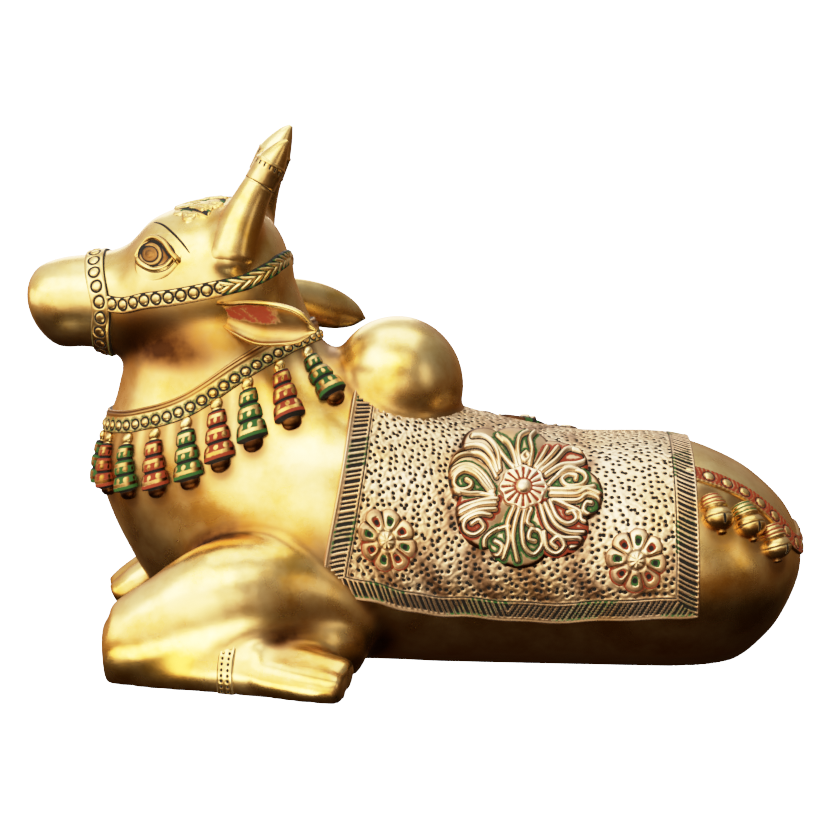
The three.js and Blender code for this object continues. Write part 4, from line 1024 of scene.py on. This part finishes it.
# Strands as (leaf, points), in mm right of and above the flower's middle, as drawn from the side.
STRANDS = [
    ("W", [(-11.4, 1.1), (-15.5, 6.5), (-20.8, 9.9), (-26.2, 9.2), (-29.7, 5.6), (-29.2, 2.0)]),
    ("W", [(-11.7, 0.0), (-15.5, 4.7), (-19.8, 8.3), (-24.2, 8.5), (-28.2, 5.6)]),
    ("W", [(-11.9, -0.7), (-15.5, 2.9), (-18.6, 6.0), (-22.8, 7.6), (-26.2, 6.0), (-27.0, 2.9), (-24.8, 0.7),
           (-21.3, 1.1), (-20.2, 2.9), (-22.2, 4.3)]),
    ("W", [(-11.4, -1.6), (-16.5, -0.7), (-21.3, -0.7), (-25.7, 0.2), (-29.7, 1.1)]),
    ("NW", [(-10.4, 5.6), (-13.5, 11.4), (-18.0, 14.6), (-24.3, 14.1), (-28.8, 11.0)]),
    ("NW", [(-9.9, 7.8), (-12.2, 13.2), (-16.7, 17.2), (-23.4, 17.2), (-29.2, 13.2)]),
    ("NW", [(-9.0, 8.7), (-10.4, 15.5), (-14.4, 20.4), (-19.8, 21.3)]),
    ("N", [(-3.7, 9.6), (-7.3, 13.2), (-10.8, 17.2), (-13.1, 19.5)]),
    ("N", [(-2.3, 10.1), (-4.1, 15.0), (-6.4, 19.0), (-9.9, 21.7)]),
    ("N", [(-1.0, 10.5), (-2.3, 15.9), (-1.4, 20.4), (1.7, 22.6)]),
    ("N", [(1.0, 14.6), (-0.4, 13.2), (1.0, 11.8), (2.4, 13.2), (1.0, 14.6)]),
    ("N", [(2.6, 10.5), (3.5, 15.5), (2.6, 19.9), (4.4, 22.6)]),
    ("NE", [(4.8, 9.6), (7.1, 13.2), (9.3, 16.8)]),
    ("NE", [(5.7, 8.7), (10.2, 12.8), (13.4, 16.4)]),
    ("NE", [(7.1, 7.8), (12.5, 11.4), (16.5, 15.5), (19.6, 16.4)]),
    ("NE", [(8.9, 6.5), (14.7, 9.6), (21.0, 10.5), (24.6, 12.3), (23.7, 15.0), (19.6, 16.1)]),
    ("E", [(10.2, 2.9), (13.8, 6.5), (17.8, 8.7), (22.8, 7.8), (24.6, 4.7), (22.3, 2.0), (17.4, 1.6),
           (15.1, 4.3), (17.4, 6.5), (20.5, 6.0), (20.5, 4.3)]),
    ("E", [(10.7, 0.7), (19.2, 0.2), (27.7, 1.6)]),
    ("E", [(10.7, -1.1), (20.5, -1.6), (25.0, 0.2), (30.4, -1.1)]),
    ("E", [(11.6, -3.4), (21.0, -3.8), (25.0, -1.6), (29.5, -2.9), (30.4, -6.9), (26.8, -9.2), (23.7, -7.4),
           (24.6, -4.7), (26.8, -4.7)]),
    ("SE", [(10.4, -3.5), (13.2, -10.1), (17.4, -12.6), (20.7, -10.7), (19.8, -7.8), (17.4, -8.2)]),
    ("SE", [(12.7, -3.5), (16.9, -5.5), (22.0, -7.8), (23.0, -11.1), (26.7, -12.1)]),
    ("SE", [(8.5, -4.8), (11.9, -12.0), (17.0, -15.5), (23.9, -15.9)]),
    ("SE", [(6.7, -5.7), (9.5, -13.8), (15.1, -17.8), (22.0, -18.2), (22.6, -21.1), (18.8, -21.6)]),
    ("SE", [(8.2, -15.8), (9.2, -21.6), (12.9, -24.0), (16.1, -21.1), (13.8, -17.8), (11.0, -19.7),
            (12.9, -21.6)]),
    ("S", [(-3.8, -6.3), (-6.1, -12.4), (-5.7, -18.9), (-7.7, -25.8)]),
    ("S", [(-1.4, -6.3), (-3.3, -12.3), (-3.9, -18.8), (-2.0, -26.8)]),
    ("S", [(0.8, -6.8), (-0.5, -13.4), (0.4, -21.0), (4.1, -24.3), (7.4, -20.6), (6.4, -15.6), (3.1, -15.0),
           (2.3, -18.3), (4.6, -19.3)]),
    ("S", [(3.1, -6.8), (1.7, -11.9), (3.6, -13.4)]),
    ("S", [(-5.7, -13.5), (-10.3, -14.7), (-14.7, -18.1), (-14.2, -23.3), (-10.0, -24.7), (-8.1, -21.2),
           (-10.9, -19.1)]),
    ("SW", [(-10.2, -2.9), (-16.0, -3.5), (-22.4, -5.3), (-27.1, -7.5), (-31.5, -6.1)]),
    ("SW", [(-10.8, -4.8), (-17.0, -5.3), (-22.9, -7.5), (-27.7, -10.3)]),
    ("SW", [(-10.8, -7.0), (-17.6, -7.5), (-22.9, -9.8), (-25.8, -12.5)]),
    ("SW", [(-12.8, -9.3), (-17.6, -8.9), (-22.4, -11.2), (-22.9, -14.9), (-19.1, -16.7), (-15.3, -14.0),
            (-17.2, -11.2), (-20.0, -12.5)]),
    ("SW", [(-24.8, -0.7), (-28.1, 0.2), (-30.0, -2.0), (-28.1, -3.9), (-26.2, -2.5)]),
]


def flower_edge(angle):
    """Eight lobes with narrow notches between them."""
    return 0.87 + 0.13 * np.abs(np.cos(4 * angle)) ** 0.6


def medallion(name, side, count):
    """The flower's height: a low dome, a swell along each leaf, the strands, and the boss on top."""
    x, y, rim = disc(count, MEDALLION_RADIUS, flower_edge)
    index, turn = placed(trunk_form, MEDALLION, -x, y, side)
    here, normal, _, _ = seat(trunk_form, index, turn)
    right, up = drawn(here + 3 * MM * normal)
    right, up = right - FLOWER_MIDDLE[0], up - FLOWER_MIDDLE[1]
    reach, angle = np.hypot(x, y), np.arctan2(y, x)
    ridge, gap = np.zeros(x.shape), np.full(x.shape, 99.0)
    paint = {"red": np.zeros(x.shape), "green": np.zeros(x.shape)}
    for leaf, path in STRANDS:
        this, this_gap = strand(right, up, path, STRAND_HALF_WIDTH)
        near = this_gap < gap
        leaf_colour, left = LEAF_PAINT[leaf]
        for colour, amount in paint.items():
            amount[near] = left * (colour == leaf_colour)
        gap = np.minimum(gap, this_gap)
        ridge = np.maximum(ridge, this)

    boss_up = (up - BOSS_UP) / BOSS_SHARE
    boss, boss_angle = np.hypot(right, boss_up), np.arctan2(boss_up, right)
    boss_edge = BOSS_RADIUS * (1 + 0.05 * np.cos(8 * boss_angle))
    off_boss = step_up(boss_edge - 0.5, boss_edge + 0.3, boss)
    on_boss = 1 - off_boss
    petal_groove = step_up(-0.1, 0.7, np.cos(16 * boss_angle)) * step_up(3.2, 4.2, boss)
    petal_groove = petal_groove * (1 - step_up(0.82, 0.92, boss / boss_edge))
    bead_ring = peak(boss, BOSS_BEAD_RADIUS + 0.5, 0.6)
    boss_rim = peak(boss, boss_edge - 0.4, 0.45)
    swell = np.abs(np.cos(4 * angle)) ** 0.8 * np.sin(np.pi * np.clip((reach - 7) / 25, 0, 1))
    leaves = 1.3 + 1.5 * swell + 1.4 * ridge
    dome = 2.3 + 1.6 * rounded(boss, 1.1 * BOSS_RADIUS) - 0.6 * petal_groove
    dome = dome + 1.3 * rounded(boss, BOSS_BEAD_RADIUS) - 0.4 * bead_ring
    height = CLOTH_THICKNESS + (leaves * off_boss + dome * on_boss) * rolled(rim, 1.6)
    height = np.where(rim < 0.01, 0.2, height)

    share = gap / STRAND_HALF_WIDTH
    valley = step_up(0.75, 1.25, share) * (1 - step_up(1.8, 3.4, share)) * off_boss
    boss_red = on_boss * (0.9 * petal_groove + 0.8 * bead_ring) + 0.7 * boss_rim
    # The flower's outer edge is brown with painted shadow where it meets the cloth.
    relief(name, cloth_brass, trunk_form, index, turn, height, {
        "red": 0.8 * paint["red"] * valley + boss_red, "green": 0.75 * paint["green"] * valley,
        "patina": 0.7 * peak(gap, 1.2 * STRAND_HALF_WIDTH, 0.34) * off_boss,
        "lacquer": 0.4 * (1 - ridge) * off_boss + 0.8 * (1 - step_up(0.6, 2.6, rim)) + 0.5 * bead_ring})


# The far flower has a coarser grid.
medallion("medallion_near", 1, 230)
medallion("medallion_far", -1, 124)


# Two small daisies stand on the cloth below the great flower, each with eight hollow petals painted red
# and green by turns, round a bead. They were stamped in wax with a small mould.
DAISIES = {"front": (7.2, math.radians(83)), "rear": (4.44, math.radians(79))}
DAISY_RADIUS, DAISY_BEAD_RADIUS = 11.5, 3.0
DAISY_COUNT = 78
DAISY_TURN = 0.4            # how far the petals are turned, as eight of them make a whole wave in four


def daisy_edge(angle):
    """Eight soft lobes, one for each petal."""
    return 0.86 + 0.14 * np.abs(np.cos(4 * angle + DAISY_TURN)) ** 0.7


for where, side in (("front_near", 1), ("rear_near", 1), ("front_far", -1), ("rear_far", -1)):
    x, y, rim = disc(DAISY_COUNT, DAISY_RADIUS, daisy_edge)
    index, turn = placed(trunk_form, DAISIES[where.split("_")[0]], -x, y, side)
    reach, angle = np.hypot(x, y), np.arctan2(y, x)
    petal = np.abs(np.cos(4 * angle + DAISY_TURN))
    pit = np.clip(1 - ((reach - 6.8) / 1.9) ** 2 - ((1 - petal) / 0.28) ** 2, 0, 1) ** 0.5
    low_rim_shadow = (1 - step_up(0.5, 1.6, rim)) * step_up(-0.3, 0.5, -np.sin(angle))
    bead = rounded(reach, DAISY_BEAD_RADIUS)
    bead_ring = peak(reach, DAISY_BEAD_RADIUS + 0.3, 0.35)
    notch = (1 - step_up(0.05, 0.3, petal)) * step_up(3.5, 5, reach)
    height = 1.6 + 0.5 * petal - 0.7 * notch - 0.8 * pit - 0.4 * bead_ring + 1.0 * bead
    height = np.where(rim < 0.01, 0.2, CLOTH_THICKNESS + height * rolled(rim, 1.0))
    is_red = np.floor((angle + 0.1) * 4 / np.pi + 0.5) % 2
    in_pit = step_up(0.2, 0.5, pit)
    lower_half_shadow = 0.5 * (y < 2) * (pit == 0) * (bead == 0)
    # Painted shadow browns the rim and the lower half's flat parts, and reddens the lower rim.
    relief("daisy_" + where, cloth_brass, trunk_form, index, turn, height, {
        "red": 0.95 * in_pit * is_red + 0.8 * low_rim_shadow + 0.7 * notch * (y < 0),
        "green": 0.9 * in_pit * (1 - is_red),
        "patina": 0.6 * notch * (y > -2) + 0.7 * step_up(0.75, 0.95, pit) + 0.55 * bead_ring,
        "lacquer": np.minimum(0.6 * notch + 0.6 * (1 - step_up(0.6, 2.2, rim)) + lower_half_shadow, 0.7)})


# The crupper is a tape of wax across the rump, red between its ringed discs. Round bells hang from it,
# each with a striped collar, a slit and a small ring below.
CRUPPER = [(3.9, 34), (3.2, 35), (2.65, 38), (2.15, 44), (1.6, 54), (0.95, 50), (0.8, 0)]
CRUPPER_WIDTH, CRUPPER_THICKNESS = 8.0, 1.0
CRUPPER_PITCH, CRUPPER_RING = 7.4, 2.3
CRUPPER_BELLS = np.array([(3.58, 46), (3.06, 45), (2.5, 51)])       # index and turn in degrees
CRUPPER_BELL_SIZE = (15 * MM, 5.6 * MM, 0.9)                        # length, radius and flatness
CRUPPER_HANG = np.array([0, 0, -1.0])
STRIPES = 60                # how fast the stripes of a bell's collar follow each other, in radians

index, turn, run, across = on_route(trunk_form, both_sides(CRUPPER, 0), CRUPPER_WIDTH, 520, 26)
pitch = run.max() / round(run.max() / CRUPPER_PITCH)
ring, bead = punched_ring(repeated(run, pitch, 0.2 * pitch), across, CRUPPER_RING)
edge_line = peak(np.abs(across), 3.1, 0.35)
hatch = 0.5 + 0.5 * np.cos(2 * np.pi * (run + 0.4 * np.abs(across)) / 1.7)
height = tape(across, CRUPPER_WIDTH, CRUPPER_THICKNESS) + 0.5 * bead - 0.3 * ring + 0.25 * edge_line * hatch
relief("crupper", skin_brass, trunk_form, index, turn, height, {
    "red": 0.95 * (1 - bead) * (np.abs(across) < 3.3) * (0.6 + 0.4 * hatch),
    "patina": 0.62 * ring + 0.5 * edge_line * (1 - hatch), "lacquer": 0.5 * (1 - bead)})


def round_bell(down):
    """Share of the radius down a round bell: a collar, a ball with a cut waist, and a ring below."""
    collar = (0.62 + 0.22 * step_up(0, 0.3, down)) * (1 - step_up(0.34, 0.38, down))
    collar = collar * np.sqrt(np.clip(down / 0.05, 0, 1)) + 0.03 * np.sin(STRIPES * down) * (down < 0.34)
    ball = rounded(down - 0.6, 0.3) - 0.06 * peak(down, 0.6, 0.018)
    ring = 0.3 * rounded(down - 0.93, 0.07)
    return np.maximum(np.maximum(collar, ball), ring) + 0.02


def round_paint(number, down, angle):
    """Stripes on the collar, red on all but the second bell, and a dark slit below the waist."""
    stripe = 0.85 * step_up(0.2, 0.6, -np.sin(STRIPES * down)) * (down < 0.36)
    second = number % len(CRUPPER_BELLS) == 1
    slit = peak(np.cos(angle), 0, 0.12) * step_up(0.6, 0.64, down) * (1 - step_up(0.78, 0.82, down))
    cuts = 0.7 * peak(down, 0.6, 0.016) + 0.6 * peak(down, 0.37, 0.02)
    return {"red": stripe * (not second), "green": stripe * second, "patina": 0.9 * slit + cuts,
            "lacquer": 0.2 + 0.5 * step_up(0.7, 0.95, down)}


at = np.tile(CRUPPER_BELLS[:, 0], 2)
turn = np.radians(np.concatenate([CRUPPER_BELLS[:, 1], -CRUPPER_BELLS[:, 1]]))
crupper_bell_places = bells(
    "crupper_bells", at, turn, CRUPPER_HANG, 0, CRUPPER_BELL_SIZE, round_bell, round_paint)


# The skin is brown with painted shade along the throat under the jaw, and brown beside the bells with
# stain and painted shade between them. Both are painted on the bull once the bells have their places.
THROAT_SHADE = np.array([(-118, 30), (-103, 26), (-91, 24), (-81, 23.5), (-70, 27)])      # as drawn, in mm
THROAT_SHADE_BELOW, THROAT_SHADE_ABOVE = 10.5, 17.0     # mm in which the painted shade thins out below and above that line
BELL_STAIN_AND_SHADE = 0.62

right, up = drawn(skin.points)
above = up - np.interp(right, THROAT_SHADE[:, 0], THROAT_SHADE[:, 1])
# Painted shade under the jaw, along the throat.
throat_shade = peak(above, 0, np.where(above > 0, THROAT_SHADE_ABOVE, THROAT_SHADE_BELOW))
throat_shade *= step_up(-126, -108, right) * (1 - step_up(-96, -52, right))
lacquer = np.maximum(lacquer, throat_shade)
for places in (bell_places, crupper_bell_places):
    first, last = places[..., 0].min() - BELL_RADIUS, places[..., 0].max() + BELL_RADIUS
    near = np.flatnonzero((skin.points[:, 0] > first) & (skin.points[:, 0] < last))
    gap = skin.points[near, None] - places[:, ::6].reshape(-1, 3)
    to_bell = np.sqrt(np.einsum("ijk,ijk->ij", gap, gap).min(1))
    # Brown beside the bells: a stain, and painted shade where the bells stand over the skin.
    stain_and_shade_here = BELL_STAIN_AND_SHADE * (1 - step_up(0.5 * BELL_RADIUS, 1.6 * BELL_RADIUS, to_bell))
    lacquer[near] = np.maximum(lacquer[near], stain_and_shade_here)
bull.data.attributes["lacquer"].data.foreach_set("value", lacquer.astype(np.float32))


# A bangle round the shank of the folded foreleg: a wax tape with two columns of punched dots between
# two cut edge lines. It was laid on before casting like the halter.
BANGLE_AT, BANGLE_WIDTH, BANGLE_THICKNESS = 2.08, 7.0, 0.8
BANGLE_DOT_PITCH = 1.8


def shank_form(u, turn):
    """The near shank's surface by key and turn."""
    return limb_form(NEAR_SHANK, u, turn)


turn, across = grid_of(all_round(220), np.linspace(-0.5, 0.5, 26) * BANGLE_WIDTH)
_, _, onward, _ = seat(shank_form, np.full_like(turn, BANGLE_AT), turn)
index = BANGLE_AT + across * MM / np.linalg.norm(onward, axis=-1).mean()
_, _, _, around = seat(shank_form, index, turn)
run = np.linalg.norm(around, axis=-1).mean() * turn / MM
from_dot = (np.abs(across) - 1.3) ** 2 + repeated(run, BANGLE_DOT_PITCH, BANGLE_DOT_PITCH / 2) ** 2
dot = np.exp(-(from_dot / 0.4) ** 2)
line = peak(np.abs(across), 3.0, 0.25)
height = tape(across, BANGLE_WIDTH, BANGLE_THICKNESS) - 0.3 * dot - 0.2 * line
relief("bangle", skin_brass, shank_form, index, turn, height, {
    "patina": 0.9 * dot + 0.7 * line, "lacquer": 0.1}, hoop=True)


# The studio: a plain pale floor and soft lights all round, in a dim brown room that the polished metal
# mirrors. A lit white table in front shows in the metal, and a white sheet lights the legs from below.
# The camera sees only white.
FLOOR_COLOUR = "#F4F2EE"
FLOOR_REACH, FLOOR_HEIGHT = 6.0, -0.0002
WHITE_CARD = 5.0            # how bright the lit white card behind and below looks to the camera
ROOM_BELOW, ROOM_LEVEL, ROOM_ABOVE = "#2E1D10", "#C08C58", "#FFFFFF"
ROOM_LEFT, ROOM_RIGHT = 1.4, 0.3        # how bright the room is on either side
TABLE_COLOUR, TABLE_GLOW = "#FFF2D8", 2.8       # the white table in front on the left, as the metal sees it

corners = FLOOR_REACH * np.array([(-1.0, -1, 0), (1, -1, 0), (1, 1, 0), (-1, 1, 0)]) + [0, 0, FLOOR_HEIGHT]
floor = piece_from("floor", corners, [np.array([[0, 1, 2, 3]])])
floor_paint = bpy.data.materials.new("matt white paint")
floor_paint.use_nodes = True
tree = floor_paint.node_tree
tree.nodes.clear()
to_camera = add(tree, "LightPath")["Is Camera Ray"]
lit = add(tree, "Math", operation="MULTIPLY", i0=to_camera, i1=WHITE_CARD)[0]
paint = add(
    tree, "BsdfPrincipled", Base_Color=FLOOR_COLOUR, Roughness=0.9, Emission_Color="#FFFFFF",
    Emission_Strength=lit)
add(tree, "OutputMaterial", Surface=paint[0])
floor.data.materials.append(floor_paint)
floor.visible_glossy = False

room = bpy.data.worlds.new("room")
room.use_nodes = True
tree = room.node_tree
tree.nodes.clear()
direction = add(tree, "TexCoord")["Generated"]
way = add(tree, "SeparateXYZ", Vector=direction)
height = add(tree, "MapRange", Value=way["Z"], i1=-1.0, i2=1.0)[0]
walls = add(tree, "ValToRGB", Fac=height)[0]
stops = walls.node.color_ramp.elements
stops[0].color, stops[0].position = linear(ROOM_BELOW), 0.27
stops[1].color, stops[1].position = linear(ROOM_ABOVE), 0.85
stops.new(0.52).color = linear(ROOM_LEVEL)
seen = add(tree, "LightPath")["Is Camera Ray"]
tint = add(tree, "Mix", data_type="RGBA", i0=seen, i6=walls, i7=(WHITE_CARD, WHITE_CARD, WHITE_CARD, 1))[2]
sideways = add(tree, "MapRange", Value=way["X"], i1=-0.8, i2=0.8, i3=ROOM_LEFT, i4=ROOM_RIGHT)[0]
strength = add(tree, "Math", operation="MAXIMUM", i0=sideways, i1=seen)[0]
backdrop = add(tree, "Background", Color=tint, Strength=strength)[0]
lean = add(tree, "VectorMath", operation="DOT_PRODUCT", i0=direction, i1=(0.35, 0, 1))["Value"]
glow = TABLE_GLOW
for value, start, end in (
        (lean, -0.30, -0.14), (lean, 0.5, 0.25), (way["X"], 0.15, -0.2), (way["Y"], -0.2, -0.6)):
    part = add(tree, "MapRange", interpolation_type="SMOOTHSTEP", Value=value, i1=start, i2=end)[0]
    glow = add(tree, "Math", operation="MULTIPLY", i0=part, i1=glow)[0]
table = add(tree, "Background", Color=TABLE_COLOUR, Strength=glow)[0]
both = add(tree, "AddShader", i0=backdrop, i1=table)[0]
add(tree, "OutputWorld", Surface=both)
bpy.context.scene.world = room


def soft_light(name, place, size, radiance, warmth="#FFFFFF", target=(0, 0, 0.08)):
    """A rectangular soft light of a size in metres that looks at a target. Its power is its radiance times
    its area times pi."""
    lamp = bpy.data.lights.new(name, "AREA")
    lamp.shape = "RECTANGLE"
    lamp.size, lamp.size_y = size
    lamp.energy = radiance * size[0] * size[1] * math.pi
    lamp.color = linear(warmth)[:3]
    holder = bpy.data.objects.new(name, lamp)
    holder.location = place
    holder.rotation_euler = (Vector(target) - Vector(place)).to_track_quat("-Z", "Y").to_euler()
    bpy.context.scene.collection.objects.link(holder)


soft_light("key_light", (-0.50, -0.85, 1.10), (1.5, 0.8), 4.2, "#FFFAF0")
soft_light("front_light", (0.12, -0.85, 1.05), (0.95, 0.55), 2.3, "#FFF8EC")
soft_light("window_light", (0.05, -1.2, 0.36), (0.9, 0.3), 1.8, "#FFF6E4")
soft_light("white_sheet", (-0.09, -0.108, 0.001), (0.12, 0.04), 8.0, "#FFF2D8", target=(-0.09, -0.108, 1))
soft_light("left_light", (-1.1, -0.30, 0.28), (0.7, 0.5), 2.6, "#FFF6E4")
soft_light("top_light", (0.0, 0.1, 1.2), (1.1, 0.8), 3.0)
soft_light("back_light", (-0.3, 1.1, 0.6), (0.8, 0.6), 3.0, "#FFF8EC")
soft_light("side_light", (0.95, -0.60, 0.50), (0.3, 0.5), 1.6, "#FFEFD8")


# The camera stands as the photographer did, 640 mm from the figure, turned 4 degrees and looking down 9.
# Its lens is chosen so that the figure fills the picture as it does in the photograph.
PIXELS_WIDE, PIXELS_PER_METRE = 828, 2563
SENSOR_WIDTH = 36.0         # mm, as in a full-frame camera
camera = bpy.data.objects.new("camera", bpy.data.cameras.new("camera"))
camera.location = CAMERA_TARGET + CAMERA_DISTANCE * TO_CAMERA
camera.rotation_euler = Vector(TO_CAMERA).to_track_quat("Z", "Y").to_euler()
camera.data.sensor_width = SENSOR_WIDTH
camera.data.lens = SENSOR_WIDTH * CAMERA_DISTANCE * PIXELS_PER_METRE / PIXELS_WIDE
bpy.context.scene.collection.objects.link(camera)
bpy.context.scene.camera = camera

# The photograph's film holds the middle tones and rolls off softly towards white. The points are scene
# brightness as a share of FILM_WHITE, and what the film makes of it.
FILM_WHITE = 4.0
FILM_POINTS = [
    (0.0, 0.0), (0.0625, 0.25), (0.125, 0.46), (0.2, 0.65), (0.3125, 0.80), (0.5, 0.91), (1.0, 1.0)]
view = bpy.context.scene.view_settings
view.view_transform = "Standard"
view.use_curve_mapping = True
view.curve_mapping.white_level = (FILM_WHITE, FILM_WHITE, FILM_WHITE)
film = view.curve_mapping.curves[3]
film.points[0].location, film.points[1].location = FILM_POINTS[0], FILM_POINTS[-1]
for point in FILM_POINTS[1:-1]:
    film.points.new(*point)
view.curve_mapping.update()
